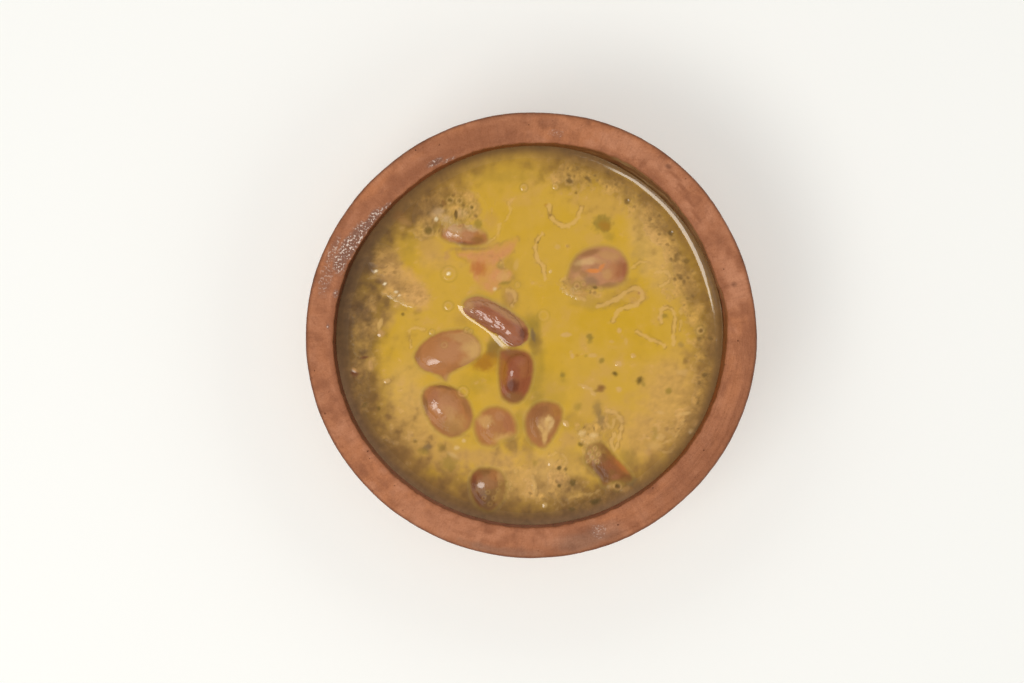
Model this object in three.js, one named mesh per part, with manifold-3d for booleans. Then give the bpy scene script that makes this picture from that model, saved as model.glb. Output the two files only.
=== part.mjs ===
// A small clay bowl of ful medames: stewed fava and kidney beans in their thickened cooking
// broth, under a layer of oil. Millimetres, +Z up, origin at the middle of the bowl's flat base.
//
// The bowl is one thick turned wall. The broth fills it to a little under the rim. Its surface
// carries the froth, the loose bean skins, the crumbs and the spice flecks that float there, and
// it is cut round each bean that stands out of it.

import * as THREE from "three";
import { mergeVertices } from "three/addons/utils/BufferGeometryUtils.js";
import Module from "manifold-3d";

const wasm = await Module();
wasm.setup();

const degrees = THREE.MathUtils.degToRad;

// ---- driving dimensions ----

const bowlHeight = 58;
const rimRadius = 70; // outside of the rim
const rimWidth = 10;
const baseRadius = 38;
const floorThickness = 9;
const floorFlat = 26; // radius of the flat middle of the floor inside
const outerRound = 2;
const innerRound = 1.2;
const ovality = 0.55; // how far the rim is out of round, longest along ovalAngle
const ovalAngle = degrees(20);
const mouthWaver = 0.5; // how far the inner edge of the rim wanders
const wallSlope = 1.1; // how much narrower the wall is at the broth than at the rim

const brothBelowRim = 7.2;
const brothLevel = bowlHeight - brothBelowRim;
const gap = 0.3; // between pieces that touch
const mouthRadius = rimRadius - rimWidth;
const brothRadius = mouthRadius - wallSlope - gap;
const meniscusHeight = 0.8;
const meniscusWidth = 2.4;

const bowlSegments = 64;
const brothSegments = 64;
const brothRings = 19;
const wallSteps = 6;

// Each bean: where its middle lies, its length, width and thickness, how far its middle is under
// the broth, and the direction of its length seen from above. Some tip nose down, bend sideways or
// have a narrower far end.
const beans = {
  bean_long: { at: [-11.5, 4.3], size: [24.2, 9.6, 8], under: 1.9, turn: -33, bend: 1.1, taper: -0.05 },
  bean_pale: { at: [-26.4, -5.5], size: [22, 15, 9.6], under: 2.9, turn: 12, tip: 3, taper: -0.12 },
  bean_dark: { at: [-4.9, -13.3], size: [16.6, 10.4, 8.2], under: 2.3, turn: 82, tip: 2, bend: 0.4 },
  bean_ribbed: { at: [-26.6, -23.6], size: [18.8, 13.6, 10], under: 3.2, turn: -55, tip: 6, taper: 0.04 },
  bean_sunk: { at: [-11.1, -28.7], size: [14, 13, 9.6], under: 3.3, turn: 105, tip: -5, taper: 0.06 },
  bean_torn: { at: [3.6, -27.9], size: [15.6, 12.2, 9.2], under: 3, turn: 76, tip: -3, taper: -0.14 },
  bean_frothy: { at: [-13.8, -47.6], size: [13.4, 12.2, 8.8], under: 2.7, turn: 100 },
  bean_foamed: { at: [-22.2, 33.6], size: [16.6, 12.6, 8.8], under: 3, turn: -14, bend: 0.3 },
  bean_split: { at: [21.2, 21.2], size: [20, 13.8, 9.2], under: 3.1, turn: 9, bend: 0.3, taper: 0.08 },
  bean_half: { at: [23.6, -39.8], size: [16.4, 9.6, 7], under: 2.2, turn: -54, bend: -0.8, taper: -0.14 },
};

// Low heaps of froth and mashed bean: middle, half length, half width, turn and height.
const frothHeaps = [
  { at: [-41.5, 17.4], half: [8.2, 5.6], turn: -38, height: 1.2 },
  { at: [-22.5, 41], half: [7.5, 4], turn: -5, height: 1 },
  { at: [-36, 36], half: [7, 4], turn: 42, height: 0.6 },
  { at: [14.8, 14.6], half: [5.4, 2.8], turn: -22, height: 0.8 },
  { at: [19.5, -28.5], half: [3.6, 3], turn: 20, height: 0.8 },
  { at: [25.5, -47.5], half: [5, 3], turn: 30, height: 0.7 },
  { at: [11, -47.5], half: [9, 4], turn: 6, height: 0.6 },
  { at: [-36.5, -41.5], half: [9.5, 4], turn: -48, height: 0.5 },
];

// Froth gathered along the wall: the angles that each drift spans, its width and its height.
const frothDrifts = [
  { from: -42, to: 38, width: 7, height: 0.5 },
  { from: 58, to: 88, width: 6, height: 0.5 },
  { from: 148, to: 212, width: 8, height: 0.6 },
];
const driftFade = 0.2; // radians at each end

// Loose skins curled on the surface: the line that each one follows, and its width.
const skins = [
  { width: 2.3, line: [[5, 40.8], [5.9, 36.9], [9.8, 33.5], [14.3, 36.4], [15.7, 40.2]] },
  { width: 1.9, line: [[3.1, 31.8], [0.6, 29.6], [1.2, 26.3], [3.1, 23.2], [4.2, 19.4]] },
  { width: 2, line: [[32.6, 14.4], [36, 13.4], [35, 10], [31.6, 8.2], [27.6, 6.4]] },
  { width: 1.9, line: [[32.8, 1.4], [37.6, -1.5], [42.8, -3.3]] },
  { width: 1.7, line: [[40.6, 7.8], [44.2, 7.6], [45.6, 4.4], [44.8, -1.6]] },
  { width: 2.2, line: [[26.6, -25], [28.6, -28.2], [28.2, -32.6]] },
  { width: 2, line: [[19.9, -22.8], [22, -25], [22.4, -28.6]] },
  { width: 1.6, line: [[-12.2, 30.6], [-9.1, 33.8], [-7.7, 40.4]] },
];

const crumbs = { count: 20, seed: 31, region: { at: [20, -6], radius: 26 }, length: [1.4, 2.8] };
const flecks = { count: 12, seed: 57, region: { at: [24, -12], radius: 20 }, radius: [0.6, 0.9] };
const bubbles = { count: 28, seed: 12, radius: [0.6, 1.1] };
const lumpClearance = 1; // between any of these and a bean

const clay = new THREE.MeshStandardMaterial({ color: 0xa9684a, roughness: 0.8, metalness: 0 });
const oil = new THREE.MeshStandardMaterial({ color: 0xc49a3a, roughness: 0.15, metalness: 0 });
const redSkin = new THREE.MeshStandardMaterial({ color: 0x8a4a30, roughness: 0.25, metalness: 0 });
const paleSkin = new THREE.MeshStandardMaterial({ color: 0xad7448, roughness: 0.3, metalness: 0 });

// ---- joining and cutting ----

// A closed geometry as a solid that can be joined and cut.
function solidFrom(geometry) {
  const bare = geometry.index ? geometry.toNonIndexed() : geometry.clone();
  bare.deleteAttribute("normal");
  bare.deleteAttribute("uv");
  const merged = mergeVertices(bare, 1e-3);
  return new wasm.Manifold(
    new wasm.Mesh({
      numProp: 3,
      vertProperties: new Float32Array(merged.attributes.position.array),
      triVerts: new Uint32Array(merged.index.array),
    }),
  );
}

function geometryFrom(solid) {
  const mesh = solid.getMesh();
  const geometry = new THREE.BufferGeometry();
  geometry.setAttribute("position", new THREE.BufferAttribute(mesh.vertProperties, 3));
  geometry.setIndex(new THREE.BufferAttribute(mesh.triVerts, 1));
  geometry.computeVertexNormals();
  return geometry;
}

// The largest body of a solid, without the scraps that a cut leaves.
function mainBody(solid) {
  return solid.decompose().reduce((best, body) => (body.volume() > best.volume() ? body : best));
}

// Moves each vertex of a geometry by a function that changes the vector it is given.
function moveVertices(geometry, change) {
  const positions = geometry.attributes.position;
  const vertex = new THREE.Vector3();
  for (let i = 0; i < positions.count; i++) {
    vertex.fromBufferAttribute(positions, i);
    change(vertex);
    positions.setXYZ(i, vertex.x, vertex.y, vertex.z);
  }
  return geometry;
}

// Repeatable draws between 0 and 1.
function randomDraws(seed) {
  let state = seed;
  return () => {
    state = (state * 1664525 + 1013904223) % 4294967296;
    return state / 4294967296;
  };
}

const between = ([low, high], share) => low + (high - low) * share;

// ---- the bowl ----

// The hand-made wall is a little out of round, most at the rim, and its mouth wanders.
function shapeByHand(vertex) {
  const angle = Math.atan2(vertex.y, vertex.x);
  const radius = Math.hypot(vertex.x, vertex.y);
  const oval = (ovality * Math.cos(2 * (angle - ovalAngle)) * radius) / rimRadius;
  const inward = Math.min(1, Math.max(0, (rimRadius - radius) / rimWidth));
  const wander = Math.sin(3 * angle + 0.6) * Math.cos(2 * angle + 1);
  const waver = mouthWaver * inward * wander * (radius / mouthRadius);
  const moved = radius + ((oval + waver) * vertex.z) / bowlHeight;
  vertex.x = Math.cos(angle) * moved;
  vertex.y = Math.sin(angle) * moved;
}

// The inside of the wall from the broth's level down to the axis, moved in by an offset.
function innerWall(path, offset) {
  const top = mouthRadius - wallSlope - offset;
  path.lineTo(top, brothLevel);
  path.bezierCurveTo(
    top - 2, brothLevel - 14,
    top - 10, floorThickness + 2.4 + offset,
    floorFlat, floorThickness + offset,
  );
  path.lineTo(0, floorThickness + offset);
}

function makeBowl() {
  const path = new THREE.Path();
  path.moveTo(0, 0);
  path.lineTo(baseRadius, 0);
  path.quadraticCurveTo(baseRadius + 1.8, 0, baseRadius + 2.6, 2.2);
  path.bezierCurveTo(
    baseRadius + 13, 9,
    rimRadius - 3.4, bowlHeight * 0.45,
    rimRadius - 0.5, bowlHeight - 9,
  );
  path.lineTo(rimRadius, bowlHeight - outerRound);
  path.quadraticCurveTo(rimRadius, bowlHeight, rimRadius - outerRound, bowlHeight);
  path.lineTo(mouthRadius + innerRound, bowlHeight);
  path.quadraticCurveTo(mouthRadius, bowlHeight, mouthRadius, bowlHeight - innerRound);
  innerWall(path, 0);
  const turned = new THREE.LatheGeometry(path.getPoints(wallSteps), bowlSegments).rotateX(Math.PI / 2);
  const bowl = new THREE.Mesh(moveVertices(turned, shapeByHand), clay);
  bowl.name = "bowl";
  return bowl;
}

// ---- the beans ----

const plumpness = 2.5; // 2 is an ellipsoid, and more fills out the ends
const redBeans = ["bean_long", "bean_dark", "bean_half"];

// A bean of the given size, grown by an offset on every side, in the place it takes in the bowl.
function beanGeometry({ at, size, under, turn, tip = 0, bend = 0, taper = 0 }, grow) {
  const [length, width, thickness] = size;
  const half = new THREE.Vector3(length, width, thickness).multiplyScalar(0.5).addScalar(grow);
  const shape = new THREE.SphereGeometry(1, 12, 8).rotateZ(Math.PI / 2);
  moveVertices(shape, (vertex) => {
    const along = vertex.x;
    const round = Math.sqrt(Math.max(0, 1 - along * along));
    const plump = (1 - Math.abs(along) ** plumpness) ** (1 / plumpness);
    const swell = round > 1e-6 ? (plump / round) * (1 - taper * along) : 0;
    vertex.y = vertex.y * swell * half.y + bend * (1 - 2 * along * along);
    vertex.z *= swell * half.z;
    vertex.x *= half.x;
  });
  return shape
    .rotateY(degrees(tip))
    .rotateZ(degrees(turn))
    .translate(at[0], at[1], brothLevel - under);
}

function makeBeans() {
  return Object.entries(beans).map(([name, bean]) => {
    const mesh = new THREE.Mesh(beanGeometry(bean, 0), redBeans.includes(name) ? redSkin : paleSkin);
    mesh.name = name;
    return mesh;
  });
}

// ---- the broth ----

// How far a place is from the middle of an oval, as a share of its half size that way.
function placeInOval({ at, half, turn }, x, y) {
  const angle = degrees(turn);
  const dx = x - at[0];
  const dy = y - at[1];
  const along = (dx * Math.cos(angle) + dy * Math.sin(angle)) / half[0];
  const across = (dy * Math.cos(angle) - dx * Math.sin(angle)) / half[1];
  return Math.hypot(along, across);
}

// Froth drifts lie against the wall and fade at both ends.
function driftHeight(drift, x, y) {
  const angle = Math.atan2(y, x);
  const middle = degrees((drift.from + drift.to) / 2);
  const reach = degrees(drift.to - drift.from) / 2;
  const away = Math.abs(Math.atan2(Math.sin(angle - middle), Math.cos(angle - middle)));
  const fade = Math.min(1, Math.max(0, (reach - away) / driftFade));
  const fromWall = (brothRadius - Math.hypot(x, y)) / drift.width;
  return drift.height * fade * Math.exp(-((fromWall * 1.6 - 0.8) ** 2));
}

// Height of the surface over the level: the broth climbs the wall, and froth heaps on it.
function surfaceHeight(x, y) {
  const fromWall = Math.max(0, brothRadius - Math.hypot(x, y));
  const climb = meniscusHeight * Math.exp(-fromWall / (meniscusWidth / 3));
  const inside = Math.min(1, fromWall / meniscusWidth);
  const heaps = frothHeaps.reduce((sum, heap) => {
    return sum + heap.height * Math.exp(-(placeInOval(heap, x, y) ** 2));
  }, 0);
  const drifts = frothDrifts.reduce((sum, drift) => sum + driftHeight(drift, x, y), 0);
  return climb + inside * (heaps + drifts);
}

function brothBody() {
  const path = new THREE.Path();
  path.moveTo(0, brothLevel);
  for (let ring = 1; ring <= brothRings; ring++) {
    path.lineTo(brothRadius * (ring / brothRings) ** 0.8, brothLevel);
  }
  innerWall(path, gap);
  const points = path.getPoints(wallSteps).reverse();
  const turned = new THREE.LatheGeometry(points, brothSegments).rotateX(Math.PI / 2);
  moveVertices(turned, (vertex) => {
    if (vertex.z > brothLevel - 1e-3) {
      vertex.z += surfaceHeight(vertex.x, vertex.y);
    }
    shapeByHand(vertex);
  });
  return solidFrom(turned);
}

const skinThickness = 1.1;
const skinLift = 0.1; // its middle over the surface

// A flat strip with rounded edges that lies on the surface along a line, half sunk in it.
function skinSolid({ width, line }) {
  const height = (x, y) => brothLevel + surfaceHeight(x, y) + skinLift;
  const points = line.map(([x, y]) => new THREE.Vector3(x, y, height(x, y)));
  const curve = new THREE.CatmullRomCurve3(points);
  const section = new THREE.Shape();
  section.absellipse(0, 0, skinThickness / 2, width / 2, 0, 2 * Math.PI);
  const strip = new THREE.ExtrudeGeometry(section, {
    extrudePath: curve,
    steps: line.length * 2,
    curveSegments: 3,
  });
  return solidFrom(strip);
}

// A small round-edged lump at a place on the surface.
function lumpSolid(x, y, half, turn, sides) {
  return solidFrom(
    new THREE.SphereGeometry(1, sides, 3)
      .rotateX(Math.PI / 2)
      .scale(...half)
      .rotateZ(turn)
      .translate(x, y, brothLevel + surfaceHeight(x, y)),
  );
}

// True where a lump of this radius stays clear of the wall and of every bean.
function isClear(x, y, radius) {
  const room = radius + lumpClearance;
  const clearOfWall = brothRadius - Math.hypot(x, y) > room + meniscusHeight;
  return clearOfWall && Object.values(beans).every(({ at, size, turn }) => {
    const half = [size[0] / 2 + room, size[1] / 2 + room];
    return placeInOval({ at, half, turn }, x, y) > 1;
  });
}

// Lumps scattered at random in a round region, each made by the given function.
function scatter({ count, seed, region }, make) {
  const draw = randomDraws(seed);
  const lumps = [];
  for (let tries = 0; lumps.length < count && tries < count * 30; tries++) {
    const angle = draw() * 2 * Math.PI;
    const radius = Math.sqrt(draw()) * region.radius;
    const x = region.at[0] + Math.cos(angle) * radius;
    const y = region.at[1] + Math.sin(angle) * radius;
    const lump = make(x, y, draw);
    if (lump) {
      lumps.push(lump);
    }
  }
  return lumps;
}

function crumbSolids() {
  return scatter(crumbs, (x, y, draw) => {
    const length = between(crumbs.length, draw());
    const half = [length / 2, length / 3.4, 0.4];
    const turn = draw() * Math.PI;
    return isClear(x, y, length / 2) && lumpSolid(x, y, half, turn, 5);
  });
}

function fleckSolids() {
  return scatter(flecks, (x, y, draw) => {
    const radius = between(flecks.radius, draw());
    const turn = draw() * Math.PI;
    return isClear(x, y, radius) && lumpSolid(x, y, [radius, radius * 0.8, 0.35], turn, 5);
  });
}

// Bubbles sit in the froth, where it is thick.
function bubbleSolids() {
  const inFroth = (x, y) => surfaceHeight(x, y) > 0.25;
  const everywhere = { ...bubbles, region: { at: [0, 0], radius: brothRadius - 3 } };
  return scatter(everywhere, (x, y, draw) => {
    const radius = between(bubbles.radius, draw());
    const fits = inFroth(x, y) && isClear(x, y, radius);
    return fits && lumpSolid(x, y, [radius, radius, radius * 0.8], 0, 6);
  });
}

function makeBroth() {
  const onSurface = [...skins.map(skinSolid), ...crumbSolids(), ...fleckSolids(), ...bubbleSolids()];
  let broth = wasm.Manifold.union([brothBody(), ...onSurface]);
  for (const bean of Object.values(beans)) {
    broth = broth.subtract(solidFrom(beanGeometry(bean, gap)));
  }
  const mesh = new THREE.Mesh(geometryFrom(mainBody(broth)), oil);
  mesh.name = "ful_broth";
  return mesh;
}

const ful = new THREE.Group();
ful.name = "bowl_of_ful_medames";
ful.add(makeBowl(), makeBroth(), ...makeBeans());

export default ful;
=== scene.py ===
import itertools
import math

import bmesh
import bpy
import numpy as np
from mathutils import Matrix, Vector
from mathutils.bvhtree import BVHTree


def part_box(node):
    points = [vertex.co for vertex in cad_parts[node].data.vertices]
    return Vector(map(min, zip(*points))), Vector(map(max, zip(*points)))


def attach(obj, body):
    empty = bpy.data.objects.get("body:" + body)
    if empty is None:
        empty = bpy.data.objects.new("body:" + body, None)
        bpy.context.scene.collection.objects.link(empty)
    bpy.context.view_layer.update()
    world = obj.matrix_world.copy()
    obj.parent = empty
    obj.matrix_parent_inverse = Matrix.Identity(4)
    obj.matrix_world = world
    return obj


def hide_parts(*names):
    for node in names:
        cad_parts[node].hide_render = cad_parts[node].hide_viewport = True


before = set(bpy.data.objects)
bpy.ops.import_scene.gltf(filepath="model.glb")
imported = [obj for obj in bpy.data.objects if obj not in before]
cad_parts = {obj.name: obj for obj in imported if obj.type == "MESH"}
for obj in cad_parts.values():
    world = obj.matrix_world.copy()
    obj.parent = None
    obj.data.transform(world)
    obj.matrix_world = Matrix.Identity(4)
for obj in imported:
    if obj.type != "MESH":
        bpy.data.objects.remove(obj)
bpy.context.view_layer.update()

# Everything is worked out in millimetres, and finishPiece turns it into metres.
mm = 0.001
scene = bpy.context.scene
scene.view_settings.view_transform = "Standard"

bowlLow, bowlHigh = (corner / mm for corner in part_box("bowl"))
rimRadius = (bowlHigh.x - bowlLow.x + bowlHigh.y - bowlLow.y) / 4
rimHeight = bowlHigh.z
brothLevel = rimHeight - 7.2

camera = {
    "lens": 85.0,  # mm, on a 36 mm sensor
    "sensor": 36.0,
    "frameSize": (1024, 683),  # pixels
    "rimMiddle": (531.8, 335.1),  # pixels of the frame
    "rimAcross": 448.9,
}
rimPixel = 2 * rimRadius / camera["rimAcross"]  # mm in the rim's plane
eyeAway = camera["frameSize"][0] * rimPixel * camera["lens"] / camera["sensor"]
eyeX = (camera["frameSize"][0] / 2 - camera["rimMiddle"][0]) * rimPixel
eyeY = (camera["rimMiddle"][1] - camera["frameSize"][1] / 2) * rimPixel
levelPixel = rimPixel * (eyeAway + rimHeight - brothLevel) / eyeAway


def makeCamera():
    data = bpy.data.cameras.new("camera")
    data.lens = camera["lens"]
    data.sensor_width = camera["sensor"]
    eye = bpy.data.objects.new("camera", data)
    scene.collection.objects.link(eye)
    eye.location = Vector((eyeX, eyeY, rimHeight + eyeAway)) * mm
    scene.camera = eye


def toPixels(x, y):  # a place at the broth's level, as the camera sees it
    width, height = camera["frameSize"]
    return width / 2 + (x - eyeX) / levelPixel, height / 2 - (y - eyeY) / levelPixel


def fromPixels(across, down):
    width, height = camera["frameSize"]
    return eyeX + (across - width / 2) * levelPixel, eyeY - (down - height / 2) * levelPixel


makeCamera()
print("camera placed")


light = {"exposure": 1.0, "veil": 0.012}  # of white under the lights, and what gloss adds


def paint(red, green, blue):  # the base colour that renders as this one
    linear = [((c / 255 + 0.055) / 1.055) ** 2.4 for c in (red, green, blue)]
    return tuple(min(0.97, max(0.002, (c - light["veil"]) / light["exposure"])) for c in linear)


rng = np.random.default_rng(7)
shuffled = np.tile(rng.permutation(256), 2)
slopes = rng.normal(size=(256, 3))
slopes /= np.linalg.norm(slopes, axis=1)[:, None]
jitter = rng.random((256, 2))


def lattice(spots):
    base = np.floor(spots).astype(int)
    part = spots - base
    fade = part**3 * (part * (part * 6 - 15) + 10)
    total = np.zeros(len(spots))
    for corner in itertools.product((0, 1), repeat=3):
        spot = (base + corner) & 255
        index = shuffled[shuffled[shuffled[spot[:, 0]] + spot[:, 1]] + spot[:, 2]]
        weight = np.prod(np.where(corner, fade, 1 - fade), axis=1)
        total += weight * ((part - corner) * slopes[index]).sum(1)
    return total * 1.6


def fractal(spots, size, octaves=3, seed=0.0):  # noise about 0 with features of that size in mm
    spots = np.asarray(spots, float)
    if spots.shape[1] == 2:
        spots = np.column_stack((spots, np.zeros(len(spots))))
    shift = np.array((17.3, 5.1, 9.7)) * (seed + 1)
    return sum(0.5**k * lattice(spots / size * 2**k + shift + 3.7 * k) for k in range(octaves))


def cells(spots, size, seed=0):  # distance to the nearest cell middle, in cells, and the cell's number
    place = np.asarray(spots)[:, :2] / size
    base = np.floor(place).astype(int)
    nearest, number = np.full(len(place), 9.0), np.zeros(len(place), int)
    for corner in itertools.product((-1, 0, 1), repeat=2):
        cell = base + corner
        index = shuffled[(shuffled[cell[:, 0] & 255] + cell[:, 1] + seed) & 255]
        away = np.linalg.norm(place - cell - jitter[index], axis=1)
        number = np.where(away < nearest, index, number)
        nearest = np.minimum(nearest, away)
    return nearest, number


def smooth(value, low, high):
    share = np.clip((value - low) / (high - low), 0, 1)
    return share * share * (3 - 2 * share)


def mixColour(first, second, share):
    return first + (np.asarray(second) - first) * np.asarray(share)[..., None]


def readPoints(bm):
    return np.array([v.co for v in bm.verts])


def writePoints(bm, spots):
    for vert, spot in zip(bm.verts, spots):
        vert.co = spot


def addValues(mesh, name, values):
    layer = mesh.attributes.new(name, "FLOAT", "POINT")
    layer.data.foreach_set("value", np.asarray(values, float).ravel())


def addColours(mesh, name, colours, alpha=None):
    layer = mesh.attributes.new(name, "FLOAT_COLOR", "POINT")
    full = np.ones((len(mesh.vertices), 4))
    full[:, :3] = colours
    if alpha is not None:
        full[:, 3] = alpha
    layer.data.foreach_set("color", full.ravel())


def finishPiece(bm, name, material, replaced=()):
    bmesh.ops.scale(bm, vec=(mm, mm, mm), verts=bm.verts)
    mesh = bpy.data.meshes.new(name)
    bm.to_mesh(mesh)
    bm.free()
    mesh.shade_smooth()
    mesh.materials.append(material)
    piece = bpy.data.objects.new(name, mesh)
    scene.collection.objects.link(piece)
    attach(piece, "root")
    if replaced:
        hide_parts(*replaced)
    return piece


# Short ways to build a material's nodes.


def addNode(tree, kind, values=(), **settings):
    made = tree.nodes.new("ShaderNode" + kind)
    for key, value in settings.items():
        setattr(made, key, value)
    for key, value in dict(values).items():
        plug(tree, made.inputs[key], value)
    return made


def plug(tree, socket, value):
    if isinstance(value, bpy.types.NodeSocket):
        tree.links.new(value, socket)
    elif hasattr(value, "__len__") and len(value) == 3 and socket.type == "RGBA":
        socket.default_value = (*value, 1)
    else:
        socket.default_value = value


def mixed(tree, share, first, second, way="MIX"):
    made = addNode(tree, "Mix", {0: share, 6: first, 7: second}, data_type="RGBA", blend_type=way)
    return made.outputs[2]


def stretched(tree, value, low, high, start=0.0, end=1.0):
    values = {0: value, 1: low, 2: high, 3: start, 4: end}
    return addNode(tree, "MapRange", values, interpolation_type="SMOOTHSTEP").outputs[0]


def worked(tree, way, first, second):
    return addNode(tree, "Math", {0: first, 1: second}, operation=way).outputs[0]


def grainOf(tree, place, size, detail=3.0, rough=0.5, warp=0.0):  # size in mm
    values = {"Vector": place, "Scale": 1 / (size * mm), "Detail": detail, "Roughness": rough, "Distortion": warp}
    return addNode(tree, "TexNoise", values).outputs["Fac"]


def dotsOf(tree, place, size):  # distance from cell middles, in cells
    values = {"Vector": place, "Scale": 1 / (size * mm)}
    return addNode(tree, "TexVoronoi", values).outputs["Distance"]


def valueOf(tree, name, output="Fac"):
    return addNode(tree, "Attribute", attribute_name=name).outputs[output]


def bumpOf(tree, height, depth, normal=None):  # depth in mm
    values = {"Height": height, "Distance": depth * mm}
    if normal is not None:
        values["Normal"] = normal
    return addNode(tree, "Bump", values).outputs["Normal"]


def startMaterial(name):
    material = bpy.data.materials.new(name)
    material.use_nodes = True
    tree = material.node_tree
    shader = tree.nodes["Principled BSDF"]
    place = addNode(tree, "TexCoord").outputs["Object"]
    return material, tree, shader, place


# The clay bowl.

bowl = {
    "rimWidth": 10.0,
    "baseRadius": 38.0,
    "floor": 9.0,
    "floorFlat": 26.0,
    "outerRound": 2.0,
    "innerRound": 1.2,
    "slope": 1.1,  # the wall is this much narrower at the broth than at the mouth
    "foot": [(0, 0), (1.8, 0), (2.6, 2.2)],  # corners of the foot's curve, from the base's edge
    "belly": (13.0, 9.0),  # a corner of the outside's curve, out from the base's edge and up
    "shoulder": (3.4, 0.45),  # in from the rim's edge, and up as a share of the height
    "lip": (0.5, 9.0),  # in and down from the rim's edge
    "innerWall": [(0, 0), (2, 14)],  # in and down from the broth's edge
    "innerHeel": (10, 2.4),  # in from the broth's edge and up from the floor
    "turnSteps": 720,
    "ridge": 0.09,  # height of the throwing ridges outside
    "ridgeTurns": 2.1,  # radians for each mm of height
    "dent": 0.16,  # unevenness of the hand-made surface
    "dentSize": 16,
    "grainSize": 3.2,
    "grain": 0.35,  # share of the dents' height
    "rimHollow": 0.175,  # how far the rim dips along its middle
    "hollowAt": (4.4, 4.2),  # the dip's middle, out from the mouth, and half of its width
    "wetDepth": 6.0,  # below the broth's level the wall inside is hidden
    "streaksStart": (4, 20),  # degrees round, where the wet lines and their painted sheen begin and end
    "streaksEnd": (66, 84),
    "colour": paint(174, 113, 79),
    "orange": paint(183, 117, 77),
    "pale": paint(190, 129, 95),
    "brown": paint(152, 95, 65),
    "grey": paint(153, 107, 82),
    "dark": paint(112, 68, 48),
    "pore": paint(104, 60, 42),
    "damp": paint(128, 90, 74),
    # painted sparkles of reflected light on the damp patches
    "paintedSparkle": paint(228, 206, 190),
    # pale wet lines on the lit side of the wall: painted sheen of reflected light
    "wetSheen": paint(176, 144, 100),
}
# The wet inside above the broth: degrees round from +X and the colour that is seen there, so the light and shade
# that fall on the wall are partly painted in.
wallSeen = [
    (0, 142, 88, 52), (10, 160, 100, 70), (22, 150, 104, 72), (40, 134, 96, 66), (55, 130, 92, 60),
    (75, 138, 86, 50), (92, 146, 82, 44), (108, 142, 76, 44), (122, 156, 86, 54), (138, 134, 74, 48),
    (155, 106, 60, 38), (180, 130, 76, 54), (200, 134, 80, 56), (220, 160, 104, 78), (240, 178, 116, 92),
    (270, 172, 112, 90), (285, 164, 104, 80), (300, 158, 96, 70), (315, 150, 86, 54), (345, 156, 88, 52),
]
wallTurns = [row[0] for row in wallSeen]
wallColours = [paint(*row[1:]) for row in wallSeen]
# Colours on the rim: degrees round, pixels from the rim's middle, half of both sizes, colour, share.
clayWashes = [
    (0, 220, 10, 6, "brown", 0.8), (15, 208, 11, 13, "pale", 0.85), (62, 212, 14, 12, "pale", 0.6),
    (82, 214, 9, 8, "pale", 0.3), (120, 200, 27, 7, "brown", 0.85), (104, 208, 13, 9, "brown", 0.5),
    (90, 221, 6, 4, "brown", 0.6), (136, 217, 9, 8, "orange", 0.8), (152, 220, 6, 7, "brown", 0.7),
    (172, 198, 16, 6, "brown", 0.8), (195, 200, 12, 5, "brown", 0.6), (215, 199, 10, 4, "brown", 0.3),
    (240, 211, 14, 12, "pale", 0.4), (263, 219, 14, 7, "grey", 0.9), (285, 212, 12, 15, "grey", 0.95),
    (284, 201, 8, 5, "brown", 0.5), (300, 203, 6, 7, "orange", 0.4), (320, 212, 20, 17, "brown", 0.6),
    (335, 220, 22, 6, "brown", 0.7), (346, 208, 9, 10, "orange", 0.5), (132, 208, 3, 8, "brown", 0.6),
    (27, 211, 2.6, 9, "brown", 0.5), (36, 203.5, 2.6, 2.4, "brown", 0.8), (40, 207.5, 2.6, 2.4, "brown", 0.8),
    (44, 211, 2.6, 2.4, "brown", 0.85), (48, 214.5, 2.4, 2.2, "brown", 0.8), (51, 217, 1, 2.6, "dark", 0.7),
    (14, 208, 0.9, 4, "dark", 0.6), (75, 220, 0.8, 2.4, "dark", 0.5), (165, 218, 6, 6, "orange", 0.4),
    (186, 210, 8, 8, "orange", 0.3), (203, 214, 1.5, 4, "brown", 0.6), (255, 206, 12, 5, "pale", 0.4),
    (273, 203, 6, 5, "pale", 0.3), (292, 217, 3, 7, "dark", 0.25), (310, 199, 5, 4, "orange", 0.4),
    (140, 222, 10, 3, "orange", 0.5), (100, 219, 8, 5, "pale", 0.3), (118.5, 197.5, 2.4, 3.4, "dark", 0.5),
    (233.5, 225, 0.5, 2.4, "dark", 0.9), (110, 212, 14, 8, "brown", 0.45), (100, 219, 4, 3, "brown", 0.5),
    (112, 220, 5, 3, "orange", 0.4), (125, 219, 4, 3, "brown", 0.4), (133, 219, 5, 4, "pale", 0.4),
    (147, 220, 4, 3, "brown", 0.6), (148, 214, 3, 3, "pale", 0.5), (265, 215, 5, 5, "brown", 0.35),
    (280, 217, 4, 4, "dark", 0.25), (275, 208, 5, 4, "pale", 0.4), (291, 208, 4, 6, "pale", 0.4),
    (285, 205, 3, 8, "dark", 0.25), (305, 218, 5, 4, "brown", 0.4), (318, 219, 6, 4, "brown", 0.4),
    (340, 219, 8, 4, "brown", 0.3), (139, 208, 4, 5, "brown", 0.4), (122, 213, 3, 3, "orange", 0.4),
    (128, 203, 9, 6, "brown", 0.5), (145, 212, 6, 8, "brown", 0.35), (98, 198, 10, 5, "brown", 0.4),
    (352, 199, 8, 4, "orange", 0.4),
]
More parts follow.
